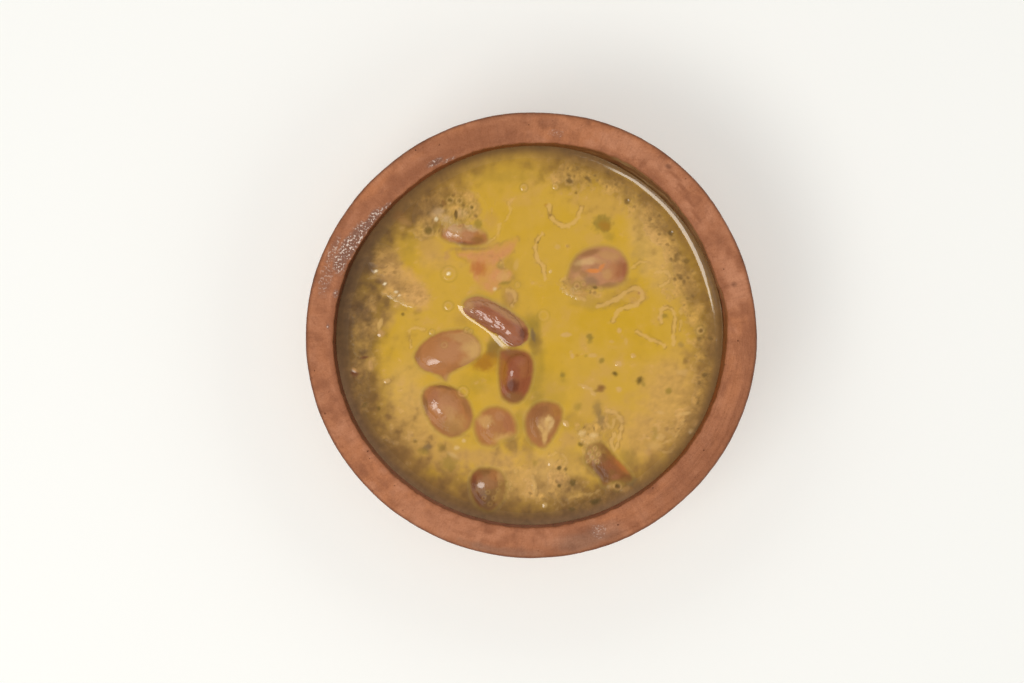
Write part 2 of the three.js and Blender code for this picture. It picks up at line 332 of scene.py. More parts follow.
# Damp patches, with fine painted sparkles of reflected light on them: degrees round, pixels from the middle, half
# of both sizes, amount.
dampSpots = [
    (139.5, 193.5, 3.5, 3.5, 0.8), (145, 196.5, 4.5, 6, 1), (150, 200, 4.5, 8, 1), (155, 203.5, 5, 9.5, 1),
    (159, 205, 3.5, 8.5, 0.9), (157, 216, 5, 5, 0.5), (165, 214, 5, 8, 0.3), (119, 198, 3, 3.5, 0.6),
    (115.5, 193.5, 2.6, 2.4, 0.6), (168, 199, 1, 4, 0.7), (177.5, 204, 0.7, 2, 0.9), (83, 203, 2.4, 5, 0.25),
    (289, 208, 2, 8, 0.35),
]
mouthRadius = rimRadius - bowl["rimWidth"]
levelRadius = mouthRadius - bowl["slope"]


# The hand-made shape, in the frame's pixels from the middle of the rim: degrees round from +X, the outer
# edge, the mouth and the edge of the broth.
handShape = [
    (0, 225.8, 195.2, 190.2), (6, 225.4, 196.6, 190.4), (11, 224.9, 195.6, 190.2), (16, 224.8, 192.2, 189.6),
    (23, 224.9, 192, 189), (32, 225.2, 193.8, 188.6), (42, 225.9, 194.9, 188.4), (52, 226, 196, 188.2),
    (62, 225.8, 196.6, 188.6), (70, 225.1, 195.4, 189.4), (80, 223.9, 192.8, 189.5), (90, 223.2, 191.3, 188.7),
    (105, 223.3, 191.4, 188.5), (120, 222.9, 190.9, 188.1), (132, 223, 190.9, 188.2), (142, 223.6, 192, 189.2),
    (152, 224.6, 194, 191), (162, 225.7, 196, 193), (172, 226.4, 197.6, 194.6), (182, 226.6, 198.4, 195.3),
    (195, 226.6, 198.6, 195.5), (210, 226.1, 197.9, 194.9), (225, 225.1, 196, 193), (240, 224.1, 194, 191.3),
    (255, 223.6, 192.4, 189.8), (270, 223.7, 191.9, 189.4), (285, 223.9, 191.5, 189), (300, 224.4, 191.5, 188.9),
    (315, 224.8, 192.2, 189.4), (330, 225.5, 193.4, 190.1), (345, 226, 194.2, 190.4),
]
handTurns = np.arange(720) / 2


def smoothRound(turns, values):  # over a full turn, in steps of half a degree
    fine = np.interp(handTurns, turns, values, period=360)
    return sum(np.roll(fine, k) for k in range(-4, 5)) / 9


def valueRound(turn, values):  # what smoothRound gave, at any angles
    return np.interp(turn, handTurns, values, period=360)


def coloursRound(turn, turns, colours):  # blended from one angle to the next
    rows = np.array(colours)
    return np.column_stack([np.interp(turn, turns, rows[:, k], period=360) for k in range(3)])


def handRadii():  # how far each of the three edges is from its round form, in mm
    turns = np.array([row[0] for row in handShape], float)
    outer, mouth, edge = (np.array([row[k] for row in handShape]) for k in (1, 2, 3))
    across = camera["rimMiddle"][0] + edge * np.cos(np.radians(turns))
    down = camera["rimMiddle"][1] - edge * np.sin(np.radians(turns))
    edgeX, edgeY = fromPixels(across, down)
    edgeTurns = np.degrees(np.arctan2(edgeY, edgeX)) % 360
    return (
        smoothRound(turns, outer * rimPixel - rimRadius),
        smoothRound(turns, mouth * rimPixel - mouthRadius),
        smoothRound(edgeTurns, np.hypot(edgeX, edgeY) - levelRadius),
    )


handOuter, handMouth, handEdge = handRadii()


def shapeByHand(x, y, z):
    angle = np.arctan2(y, x)
    radius = np.hypot(x, y)
    turn = np.degrees(angle) % 360
    outer, mouth, edge = (valueRound(turn, values) for values in (handOuter, handMouth, handEdge))
    inward = np.clip((rimRadius - radius) / bowl["rimWidth"], 0, 1)
    depth = np.clip((rimHeight - z) / (rimHeight - brothLevel), 0, 1)
    moved = (1 - inward) * outer + inward * ((1 - depth) * mouth + depth * edge)
    radius = radius + moved * np.clip(z / brothLevel, 0, 1) * np.clip(radius / levelRadius, 0, 1)
    return radius * np.cos(angle), radius * np.sin(angle)


def curveThrough(corners, steps):  # a Bezier curve of any degree, without its first point
    spots = []
    for step in range(1, steps + 1):
        row = [Vector(c) for c in corners]
        while len(row) > 1:
            row = [a.lerp(b, step / steps) for a, b in zip(row, row[1:])]
        spots.append(row[0])
    return spots


def innerWall(steps, offset=0.0):  # from the broth's level down to the axis
    top = levelRadius - offset
    floor = bowl["floor"] + offset
    corners = [
        *[(top - inward, brothLevel - drop) for inward, drop in bowl["innerWall"]],
        (top - bowl["innerHeel"][0], floor + bowl["innerHeel"][1]),
        (bowl["floorFlat"], floor),
    ]
    return curveThrough(corners, steps)


def bowlProfile():
    base, rim, top, mouth = bowl["baseRadius"], rimRadius, rimHeight, mouthRadius
    outer, inner = bowl["outerRound"], bowl["innerRound"]
    foot = [(base + out, up) for out, up in bowl["foot"]]
    belly = (base + bowl["belly"][0], bowl["belly"][1])
    shoulder = (rim - bowl["shoulder"][0], top * bowl["shoulder"][1])
    lip = (rim - bowl["lip"][0], top - bowl["lip"][1])
    curves = [  # the corners of each and how many steps it has
        ([(0, 0), foot[0]], 4),
        (foot, 5),
        ([foot[-1], belly, shoulder, lip], 44),
        ([lip, (rim, top - outer)], 7),
        ([(rim, top - outer), (rim, top), (rim - outer, top)], 6),
        ([(rim - outer, top), (mouth + inner, top)], 20),
        ([(mouth + inner, top), (mouth, top), (mouth, top - inner)], 5),
        ([(mouth, top - inner), (levelRadius, brothLevel)], 10),
    ]
    spots = [Vector((0, 0))]
    for corners, steps in curves:
        spots += curveThrough(corners, steps)
    spots += innerWall(16)
    return spots + curveThrough([(bowl["floorFlat"], bowl["floor"]), (0, bowl["floor"])], 4)


def spotAway(turn, reach, middle, away, halfTurn, halfAway):  # 1 on the edge of a spot on the rim
    turned = (turn - middle + 180) % 360 - 180
    return np.hypot(turned / halfTurn, (reach - away) / halfAway)


def clayTone(spots, nominal, height, onRim):  # the clay's colours, how damp and soaked it is, and where its wet streaks with their painted sheen lie
    turn = np.degrees(np.arctan2(spots[:, 1], spots[:, 0])) % 360
    reach = np.hypot(spots[:, 0], spots[:, 1]) / rimPixel
    broad, ragged, small = fractal(spots, 20, 3, 3), fractal(spots, 6, 4, 4), fractal(spots, 2.2, 3, 5)
    tone = mixColour(np.array(bowl["colour"]), bowl["orange"], smooth(broad, -0.1, 0.7) * 0.7)
    tone = mixColour(tone, bowl["brown"], smooth(ragged, 0.0, 0.7) * 0.8)
    tone = mixColour(tone, bowl["pale"], smooth(-ragged, 0.0, 0.7) * 0.7)
    tone = mixColour(tone, bowl["brown"], smooth(small, 0.05, 0.6) * 0.45)
    for *spot, colour, share in clayWashes:
        gap = spotAway(turn, reach, *spot) + 0.35 * ragged + 0.15 * small
        tone = mixColour(tone, bowl[colour], share * (1 - smooth(gap, 0.3, 1.15)) * onRim)
    # The outer rounding of the rim is darkened all round near the top: painted shade where the edge turns down.
    beyond = np.hypot(spots[:, 0], spots[:, 1]) - valueRound(turn, handOuter) - rimRadius
    roundingShade = smooth(beyond, -1.2, 0.0) * smooth(height, rimHeight - 4, rimHeight - 1)
    tone = mixColour(tone, bowl["dark"], roundingShade * 0.8)
    damp = np.zeros(len(turn))
    for *spot, share in dampSpots:
        gap = spotAway(turn, reach, *spot) + 0.3 * ragged
        damp = np.maximum(damp, share * (1 - smooth(gap, 0.6, 1.15)) * onRim)
    wall = coloursRound(turn, wallTurns, wallColours)
    inside = height > brothLevel - bowl["wetDepth"]
    soaked = smooth(rimHeight - 0.15 - height + ragged * 0.25, 0, 2.0) * (nominal < mouthRadius + 1.1) * inside
    tone = mixColour(tone, bowl["brown"], 0.4 * smooth(mouthRadius + 2.4 - nominal, 0, 2.2) * inside)
    tone = mixColour(tone, wall, soaked)
    # On the lit side of the wet wall: dark streaks, and pale lines of painted sheen.
    streaksAndSheen = soaked * smooth(turn, *bowl["streaksStart"]) * (1 - smooth(turn, *bowl["streaksEnd"]))
    streaksAndSheen = streaksAndSheen * (0.75 + 0.4 * ragged)
    return tone, damp, soaked, np.clip(streaksAndSheen, 0, 1)


def makeBowl():
    bm = bmesh.new()
    profile = bowlProfile()
    line = [bm.verts.new((spot.x, 0, spot.y)) for spot in profile]
    edges = [bm.edges.new(pair) for pair in zip(line, line[1:])]
    bmesh.ops.spin(
        bm, geom=line + edges, cent=(0, 0, 0), axis=(0, 0, 1), angle=2 * math.pi,
        steps=bowl["turnSteps"], use_merge=True,
    )
    bmesh.ops.remove_doubles(bm, verts=bm.verts, dist=1e-4)
    bmesh.ops.recalc_face_normals(bm, faces=bm.faces)
    spots = readPoints(bm)
    nominal = np.hypot(spots[:, 0], spots[:, 1])
    height = spots[:, 2].copy()
    x, y = shapeByHand(spots[:, 0], spots[:, 1], height)
    angle = np.arctan2(y, x)

    isOutside = smooth(nominal - (rimRadius - 14) + (rimHeight - height) * 0.05, 0, 6) * (height > 1)
    onRim = smooth(height, rimHeight - 0.6, rimHeight) * (nominal > mouthRadius)
    lumps = fractal(spots, bowl["dentSize"], 3, 1) * bowl["dent"]
    small = fractal(spots, bowl["grainSize"], 3, 2) * bowl["dent"] * bowl["grain"]
    ridges = bowl["ridge"] * np.sin(height * bowl["ridgeTurns"] + 1.3 * np.sin(angle + 0.4))
    ridges = ridges * isOutside * (height < rimHeight - 3)
    push = (lumps + small) * 0.8 * isOutside * (nominal > 50) + ridges * 0.6
    hollowMiddle, hollowHalf = bowl["hollowAt"]
    hollow = np.clip(1 - ((nominal - mouthRadius - hollowMiddle) / hollowHalf) ** 2, 0, 1)
    drop = onRim * (hollow * bowl["rimHollow"] + np.abs(lumps) * 0.9 + np.abs(small))
    edgeWear = np.abs(fractal(np.column_stack((x, y, x * 0)), 5, 3, 6)) * 0.5
    inside = smooth(mouthRadius + 1.4 - nominal, 0, 1.2) * (height > brothLevel - 3)
    radius = np.hypot(x, y) + push + inside * (small + edgeWear * 0.6) * (height > brothLevel + 1)
    spots = np.column_stack((radius * np.cos(angle), radius * np.sin(angle), np.maximum(height - drop, 0)))
    writePoints(bm, spots)

    tone, damp, soaked, streaksAndSheen = clayTone(spots, nominal, height, onRim)
    tall = np.cumsum([0] + [(b - a).length for a, b in zip(profile, profile[1:])])
    ringAt = {(round(p.x, 3), round(p.y, 3)): t for p, t in zip(profile, tall)}
    ring = [ringAt.get((round(n, 3), round(h, 3)), 0.0) for n, h in zip(nominal, height)]

    piece = finishPiece(bm, "clay_bowl", clayMaterial(), ["bowl"])
    addValues(piece.data, "damp", damp)
    addValues(piece.data, "soaked", soaked)
    addValues(piece.data, "streaksAndSheen", streaksAndSheen)
    addColours(piece.data, "tone", tone)
    addValues(piece.data, "ring", np.array(ring) * mm)
    return piece


def clayMaterial():
    material, tree, shader, place = startMaterial("fired clay")
    apart = addNode(tree, "SeparateXYZ", {0: place}).outputs
    slow = addNode(tree, "VectorMath", {0: place, 1: (0.12, 0.12, 0.12)}, operation="MULTIPLY").outputs[0]
    slowApart = addNode(tree, "SeparateXYZ", {0: slow}).outputs
    turned = addNode(tree, "CombineXYZ", {0: slowApart[0], 1: slowApart[1], 2: valueOf(tree, "ring")}).outputs[0]
    streaks = grainOf(tree, turned, 1.6, 4, 0.6)
    level = addNode(tree, "CombineXYZ", {0: apart[0], 1: apart[1]}).outputs[0]
    around = addNode(tree, "VectorMath", {0: level}, operation="NORMALIZE").outputs[0]
    around = addNode(tree, "VectorMath", {0: around, 1: (rimRadius * mm,) * 3}, operation="MULTIPLY").outputs[0]
    aroundApart = addNode(tree, "SeparateXYZ", {0: around}).outputs
    across = worked(tree, "MULTIPLY", valueOf(tree, "ring"), 0.16)
    wipe = addNode(tree, "CombineXYZ", {0: aroundApart[0], 1: aroundApart[1], 2: across}).outputs[0]
    wiped = grainOf(tree, wipe, 1.5, 4, 0.65)
    wetLines = grainOf(tree, turned, 1.9, 1, 0.5)
    patchy = grainOf(tree, place, 7, 5, 0.65, 1.2)
    fine = grainOf(tree, place, 0.55, 4, 0.7)
    specks = grainOf(tree, place, 0.75, 3, 0.6)
    pores = dotsOf(tree, place, 2.6)

    tone = valueOf(tree, "tone", "Color")
    darker = mixed(tree, 1.0, tone, (0.72, 0.68, 0.66), "MULTIPLY")
    lighter = mixed(tree, 1.0, tone, (1.14, 1.2, 1.26), "MULTIPLY")
    colour = tone
    for grain, start, full, share, other in [
        (patchy, 0.48, 0.72, 0.55, darker), (patchy, 0.46, 0.28, 0.45, lighter), (wiped, 0.5, 0.72, 0.5, darker),
        (wiped, 0.46, 0.26, 0.4, lighter), (streaks, 0.5, 0.75, 0.2, darker), (fine, 0.5, 0.72, 0.65, lighter),
        (fine, 0.48, 0.28, 0.65, darker),
    ]:
        colour = mixed(tree, stretched(tree, grain, start, full, 0, share), colour, other)
    pit = worked(tree, "MULTIPLY", stretched(tree, pores, 0.13, 0.05), stretched(tree, patchy, 0.5, 0.62))
    colour = mixed(tree, pit, colour, bowl["pore"])

    damp, soaked = valueOf(tree, "damp"), valueOf(tree, "soaked")
    dampShare = worked(tree, "MULTIPLY", damp, stretched(tree, fine, 0.35, 0.6, 0.6, 0.95))
    colour = mixed(tree, dampShare, colour, bowl["damp"])
    # Fine specks on the damp patches are lightened: painted sparkles of reflected light.
    paintedSparkle = worked(tree, "MULTIPLY", damp, stretched(tree, specks, 0.53, 0.62, 0, 0.95))
    colour = mixed(tree, paintedSparkle, colour, bowl["paintedSparkle"])
    # Pale wet lines are painted sheen on the lit wall; dark ones are streaks.
    streaksAndSheen = valueOf(tree, "streaksAndSheen")
    lines = worked(tree, "MULTIPLY", streaksAndSheen, stretched(tree, wetLines, 0.52, 0.64, 0, 0.85))
    colour = mixed(tree, lines, colour, bowl["wetSheen"])
    lines = worked(tree, "MULTIPLY", streaksAndSheen, stretched(tree, wetLines, 0.47, 0.36, 0, 0.7))
    colour = mixed(tree, lines, colour, bowl["dark"])
    plug(tree, shader.inputs["Base Color"], colour)

    wet = worked(tree, "MAXIMUM", damp, soaked)
    grainy = stretched(tree, fine, 0.3, 0.7, 0.82, 0.62)
    rough = addNode(tree, "Mix", {0: wet, 2: grainy, 3: 0.3}, data_type="FLOAT").outputs[0]
    plug(tree, shader.inputs["Roughness"], rough)
    pressed = bumpOf(tree, streaks, 0.1)
    pressed = bumpOf(tree, fine, 0.12, pressed)
    pressed = bumpOf(tree, worked(tree, "MULTIPLY", pit, -1.0), 0.25, pressed)
    plug(tree, shader.inputs["Normal"], pressed)
    shader.inputs["Specular IOR Level"].default_value = 0.35
    return material


makeBowl()
print("bowl made")


# What is in the bowl is laid out in the frame's pixels, at the broth's level. First the colours that
# are seen there.

foodSeen = {
    "oil": (206, 163, 62),
    "deepOil": (204, 161, 42),
    "topOil": (193, 153, 58),
    "olive": (150, 124, 52),
    "oliveDark": (112, 92, 42),
    "tan": (202, 157, 88),
    "tanPale": (212, 169, 100),
    "cream": (219, 182, 120),
    "pink": (190, 142, 88),
    "foam": (196, 151, 92),
    "foamShade": (152, 115, 66),
    "lump": (214, 164, 94),
    "heap": (198, 162, 116),
    "edge": (120, 87, 52),
    "edgeWarm": (132, 96, 54),
    "edgeGrey": (146, 112, 80),
    "edgeShadow": (106, 78, 52),
    "brown": (128, 95, 53),
    "grey": (122, 99, 70),
    "amber": (170, 116, 38),
    "salmon": (206, 142, 86),
    "rust": (184, 110, 54),
    "orange": (216, 130, 58),
    "longRed": (164, 102, 72),
    # the colour of small painted highlights
    "glow": (252, 236, 196),
    "fleck": (92, 74, 34),
    "pit": (112, 86, 46),
    "skin": (176, 116, 66),
    "skinDark": (112, 58, 34),
    "skinRed": (150, 84, 52),
    "skinPink": (184, 130, 90),
    "skinShade": (138, 94, 50),
}
palette = {name: paint(*seen) for name, seen in foodSeen.items()}

# Each bean's place, size, sink and wrinkles in mm, its turns in degrees, and its outline, patches of
# colour and glints in pixels: across, down, half sizes and turn.
beans = {
    "bean_long": {
        "at": (-11.5, 4.3), "size": (24.2, 9.6, 8.0), "under": 1.9, "turn": -33, "bend": 1.1, "taper": -0.05,
        "slot": "red_bean", "peak": 1.0, "film": 0.1, "wrinkle": 1.3, "lump": 0.2, "climb": 0.8,
        "soft": 1.0, "raise": 0.5, "edge": 0.3,
        "outline": [
            (464.3, 301.8), (468.9, 298.4), (478, 296.6), (488.4, 299.5), (501, 306.4), (512.5, 313.3),
            (524, 322.5), (528.6, 331.7), (528, 338.5), (521.7, 344.3), (512.5, 347.2), (506.8, 344.3),
            (499.9, 337.4), (491.9, 328.2), (482.7, 321.3), (473.5, 315.6), (467.7, 309.9), (463.7, 305.3),
        ],
        "colour": "longRed",
        "patches": [
            # The pale pink strips along the upper-right edge are a painted reflection of the bright surroundings;
            # the red band along the lower-left edge is painted shade.
            (503, 311, 36, 5.5, 33, "pink", 0.6), (468, 303, 9, 9, 0, "pink", 0.8),
            (484, 302, 16, 6, 12, "skinPink", 0.75), (497, 333, 30, 4, 40, "skinRed", 0.6),
            (524, 334, 6, 8, 20, "skinDark", 0.8), (520, 343, 12, 4, -8, "skinRed", 0.6),
            (487, 310, 10, 3.4, 32, "skinRed", 0.55), (505, 322, 9, 3, 40, "skinRed", 0.5),
        ],
    },
    "bean_pale": {
        "at": (-26.4, -5.5), "size": (22.0, 15.0, 9.6), "under": 2.9, "turn": 12, "tip": 1, "taper": -0.12,
        "slot": "brown_bean", "peak": 1.05, "film": 0.8, "wrinkle": 0.15, "lump": 0.15, "soft": 1.8,
        "shows": 0.7, "glints": [(437, 364, 9, 4.4, 8), (444, 345, 2.4, 1.6, 0)],
        "outline": [
            (414.9, 354.6), (421.8, 344.3), (432.1, 336.3), (445.9, 331.1), (464.3, 329.9), (474.6, 336.3),
            (480.4, 344.3), (480.4, 353.5), (473.5, 360.4), (464.3, 365), (456, 369.6), (449, 374), (446, 381),
            (441.5, 376.6), (434.4, 373.4), (423, 369.6), (416.1, 361.5),
        ],
        "colour": "skin",
        "patches": [
            (450, 350, 20, 16, 0, "skinPink", 0.5), (473, 348, 15, 17, 0, "foam", 0.9),
            (462, 337, 18, 7, 5, "pink", 0.85), (475, 350, 8, 11, 0, "tanPale", 0.5),
            (466, 364, 10, 6, 0, "pink", 0.7), (447, 378, 4, 6, 0, "pink", 0.8),
            (418, 355, 4, 12, 10, "skinShade", 0.5), (436, 372, 16, 3.4, 12, "skin", 0.5),
            (428, 350, 12, 10, -30, "skin", 0.5),
        ],
    },
    "bean_dark": {
        "at": (-4.9, -13.3), "size": (16.6, 10.4, 8.2), "under": 2.3, "turn": 82, "tip": -9, "bend": 0.4,
        "slot": "red_bean", "peak": 1.15, "film": 0.8, "wrinkle": 0.4, "lump": 0.15, "soft": 2.8,
        "shows": 0.85, "glints": [(513, 372.5, 2.6, 3.8, 0)],
        "outline": [
            (499.9, 360.4), (501, 351.2), (509, 348.9), (520.6, 350), (529.7, 354.6), (533.2, 365), (532, 378.7),
            (528.6, 390.2), (521.7, 400.6), (512.5, 403.4), (503.3, 398.3), (499.9, 386.8), (498.7, 371.8),
        ],
        "colour": "skinRed",
        "patches": [
            (525, 366, 8, 16, 8, "skin", 0.4), (503, 372, 6, 18, 0, "amber", 0.6),
            (513, 386, 7.5, 8.5, 0, "skinDark", 0.95), (514, 398, 14, 7, 0, "skinShade", 0.8),
            (514, 353, 13, 5, 10, "skinShade", 0.6), (520, 360, 7, 6, 0, "longRed", 0.5),
        ],
    },
    "bean_ribbed": {
        "at": (-26.6, -23.6), "size": (18.8, 13.6, 10.0), "under": 3.2, "turn": -55, "tip": 8, "taper": 0.04,
        "slot": "brown_bean", "peak": 1.1, "film": 0.8, "wrinkle": 0.9, "lump": 0.25, "soft": 2.2,
        "shows": 0.65, "glints": [(434.5, 404, 3.2, 5, 10), (439.6, 411, 3, 2, 35)],
        "outline": [
            (422.6, 394.8), (428.7, 386.8), (440.2, 385), (454, 387.9), (463.1, 394.8), (470, 405.1),
            (472.9, 417.8), (468.9, 428.1), (459.7, 435), (450.5, 437.3), (440.2, 432.7), (432.1, 424.7),
            (426.4, 414.3), (423, 404),
        ],
        "colour": "skin",
        "patches": [
            (446, 404, 18, 14, 40, "skinPink", 0.6), (433, 398, 9, 9, 0, "longRed", 0.5),
            (454, 424, 18, 14, 20, "edgeWarm", 0.25), (456, 424, 16, 13, 20, "tan", 0.4),
            (450, 430, 20, 9, 20, "skinShade", 0.3), (449, 412, 10, 8, 30, "pink", 0.5),
            (447, 387, 18, 3, 10, "skinShade", 0.7), (425, 403, 3.4, 16, -12, "skinShade", 0.8),
            (467, 408, 4, 14, -15, "skinShade", 0.5),
        ],
    },
    "bean_sunk": {
        "at": (-11.1, -28.7), "size": (14.0, 13.0, 9.6), "under": 3.3, "turn": 105, "tip": -5, "taper": 0.06,
        "slot": "brown_bean", "peak": 1.2, "film": 0.9, "wrinkle": 0.25, "lump": 0.3, "soft": 3.6, "edge": 0.05,
        "shows": 0.55, "glints": [(491, 425, 3, 2.6, 0)],
        "outline": [
            (474.6, 423.5), (479.2, 415.5), (487.3, 408.6), (498.7, 407.4), (509, 412), (514.8, 421.2),
            (516, 431.5), (510.2, 437.3), (501, 439.6), (494.1, 445.3), (482.7, 444.2), (476.9, 437.3),
        ],
        "colour": "skin",
        "patches": [
            (490, 426, 18, 16, 0, "skin", 0.6), (485, 421, 10, 8, 0, "tanPale", 0.5),
            (508, 424, 7, 13, -10, "longRed", 0.45), (487, 437, 13, 9, 0, "amber", 0.25),
            (506, 440, 14, 9, 0, "tan", 0.85), (500, 416, 6, 6, 20, "skinPink", 0.5),
        ],
    },
    "bean_torn": {
        "at": (3.6, -27.9), "size": (15.6, 12.2, 9.2), "under": 3.0, "turn": 76, "tip": -3,
        "taper": -0.14, "raise": -0.5, "dull": 0.9,
        "slot": "brown_bean", "peak": 1.2, "film": 0.9, "wrinkle": 0.3, "lump": 0.2, "soft": 3.0, "edge": 0.05,
        "shows": 0.55,
        "outline": [
            (525.1, 422.4), (527.4, 413.2), (534.3, 405.1), (543.5, 401.7), (555, 403.4), (561.3, 408.6),
            (561.5, 417.8), (557.3, 429.3), (550.4, 440.7), (543.5, 447.6), (534.3, 444.2), (527.4, 435),
        ],
        "colour": "skin",
        "patches": [
            (541, 422, 26, 30, 0, "skinShade", 0.45), (536, 411, 15, 11, 0, "skinShade", 0.5),
            (536, 412, 14, 10, 0, "skinRed", 0.3), (531, 434, 8, 12, -20, "skin", 0.4),
            (557, 411, 9, 10, 0, "amber", 0.3), (546, 425, 9, 13, 8, "foam", 0.85),
            (547, 422, 3.4, 9, 12, "tanPale", 0.8), (551, 425, 2.6, 7, 24, "cream", 0.55),
            (541, 428, 2.6, 7, -26, "tanPale", 0.6), (545, 437, 3.4, 9, 4, "tanPale", 0.8),
            (548, 419, 5, 3, 0, "cream", 0.5),
        ],
    },
    "bean_frothy": {
        "at": (-13.8, -47.6), "size": (13.4, 12.2, 8.8), "under": 2.7, "turn": 100,
        "slot": "brown_bean", "peak": 1.2, "film": 0.7, "wrinkle": 0.9, "lump": 0.4, "soft": 2.6,
        "shows": 0.6, "glints": [(481, 485, 3.4, 2.6, 0)],
        "outline": [
            (470.6, 484.3), (471.7, 475.1), (477.4, 469.4), (487.8, 468.2), (498.1, 470.5), (503.8, 477.4),
            (506.1, 486.6), (502.7, 498.1), (495.8, 507.3), (487.8, 510.7), (478.6, 506.1), (472.8, 496.9),
        ],
        "colour": "skinShade",
        "patches": [
            (489, 481, 12, 10, 0, "skinPink", 0.35), (473, 484, 4, 14, 4, "skinDark", 0.8),
            (484, 503, 15, 9, 0, "skinDark", 0.7), (484, 501, 14, 12, 0, "edge", 0.9),
            (498, 495, 7, 9, 0, "foamShade", 0.5), (495, 475, 9, 8, 0, "skin", 0.65),
            (479, 499, 8, 10, 0, "skinDark", 0.6), (500, 476, 5, 6, 0, "foam", 0.5),
            (487, 492, 10, 3, -10, "edgeWarm", 0.5), (478, 476, 7, 6, 0, "skinRed", 0.4),
        ],
    },
    "bean_foamed": {
        "at": (-22.2, 33.6), "size": (16.6, 12.6, 8.8), "under": 3.0, "turn": -14, "bend": 0.3,
        "slot": "brown_bean", "peak": 1.1, "film": 0.7, "wrinkle": 1.0, "lump": 0.5, "soft": 2.6,
        "edge": 0.1, "froth": 0.8,
        "shows": 0.6, "glints": [(456.6, 234, 3.4, 2.6, 0), (449, 234, 3, 2.4, 20), (463.6, 238, 2.4, 1.8, 0)],
        "outline": [
            (439.5, 229), (442, 224.5), (450, 222.5), (460, 224), (470, 227), (480, 229), (486, 234), (487, 241),
            (478, 245), (466, 245.5), (455, 243), (445, 239.5), (440, 235),
        ],
        "colour": "skin",
        "patches": [
            (455, 229, 13, 5, 8, "heap", 0.7), (441, 231, 3.4, 9, 0, "skinShade", 0.9),
            (448, 224.6, 9, 2.4, -12, "edge", 0.7), (468, 236, 9, 7, 12, "skinPink", 0.6),
            (466, 243.6, 20, 3.4, 5, "skinRed", 0.6), (456, 235, 9, 3.4, 10, "pink", 0.5),
            (479, 238, 8, 6, 10, "amber", 0.4), (472, 227, 13, 6, 8, "heap", 0.95),
            (452, 223, 13, 4, 4, "heap", 0.8), (481, 231, 6, 5, 20, "tan", 0.7),
            (478, 226, 3, 4, 0, "edgeWarm", 0.5), (463, 245, 20, 3, 3, "skinShade", 0.8),
            (477, 240, 10, 4.4, 12, "skinShade", 0.6), (458, 244, 16, 2.4, 3, "edge", 0.5),
        ],
    },
    "bean_split": {
        "at": (21.2, 21.2), "size": (20.0, 13.8, 9.2), "under": 3.1, "turn": 9, "bend": 0.3, "taper": 0.08,
        "slot": "brown_bean", "peak": 1.1, "film": 0.9, "wrinkle": 0.3, "lump": 0.25, "soft": 3.4,
        "raise": -0.4, "dull": 0.9, "edge": 0.1,
        "shows": 0.5,
        "outline": [
            (569, 272), (573, 261), (581, 252.5), (592, 248), (605, 246.5), (617, 250), (625, 258.5), (628, 269),
            (625, 279), (617, 285.5), (606, 288), (594, 287), (582, 288), (573, 286), (568.5, 280),
        ],
        "colour": "skinPink",
        "patches": [
            (588, 253, 16, 3.6, -16, "skinShade", 0.6), (576, 266, 7, 12, 20, "foamShade", 0.7),
            (610, 256, 12, 7, 14, "pink", 0.7), (613, 272, 13, 12, 0, "skin", 0.5),
            (622, 271, 9, 16, 6, "skinRed", 0.5), (625.6, 270, 4, 13, 4, "skinRed", 0.5),
            (587, 262, 14, 4.4, -8, "cream", 0.5), (600, 262, 8, 3, 10, "pink", 0.5),
            (607, 274, 6, 7, 30, "foam", 0.5), (579, 280, 12, 9, 0, "foam", 0.55),
            (591, 281, 10, 6.5, 0, "edgeGrey", 0.75), (593, 270.8, 8.4, 2.7, 2, "orange", 0.85),
            (602, 266.6, 4.6, 2.6, -42, "orange", 0.65), (610, 285, 13, 3.4, -6, "foamShade", 0.6),
            (595.2, 287.3, 2.6, 1.8, 14, "pit", 0.9), (583, 274, 5, 4, 0, "skinShade", 0.4),
        ],
    },
    "bean_half": {
        "at": (23.6, -39.8), "size": (16.4, 9.6, 7.0), "under": 2.2, "turn": -54, "bend": -0.8, "taper": -0.14,
        "slot": "red_bean", "peak": 1.1, "film": 0.7, "wrinkle": 0.9, "lump": 0.5, "soft": 2.2,
        "raise": -0.3, "dull": 0.9, "edge": 0.1,
        "shows": 0.6,
        "outline": [
            (585.4, 456), (589.5, 445.8), (600.4, 442.5), (607.3, 448.2), (617.6, 459.7), (628.5, 471),
            (632, 479.4), (625.6, 482.7), (613.8, 481.5), (604, 486), (599.2, 476.6), (591.2, 467.7), (586, 462),
        ],
        "colour": "skinShade",
        "patches": [
            (616, 462, 19, 5, 47, "amber", 0.4), (616, 466, 14, 8, 47, "skinRed", 0.55),
            (593, 454, 9, 11, 20, "skinPink", 0.6), (604, 470, 8, 10, 0, "skinRed", 0.55),
            (605, 476, 6, 8, 0, "skinDark", 0.35), (626, 478, 6, 5, 0, "skinDark", 0.4),
            (615, 477, 5, 4, 0, "longRed", 0.5), (600, 474, 9, 12, -30, "edge", 0.75),
            (601, 472, 6, 9, -30, "skinDark", 0.4), (622, 466, 12, 3.4, 47, "rust", 0.7),
        ],
    },
}

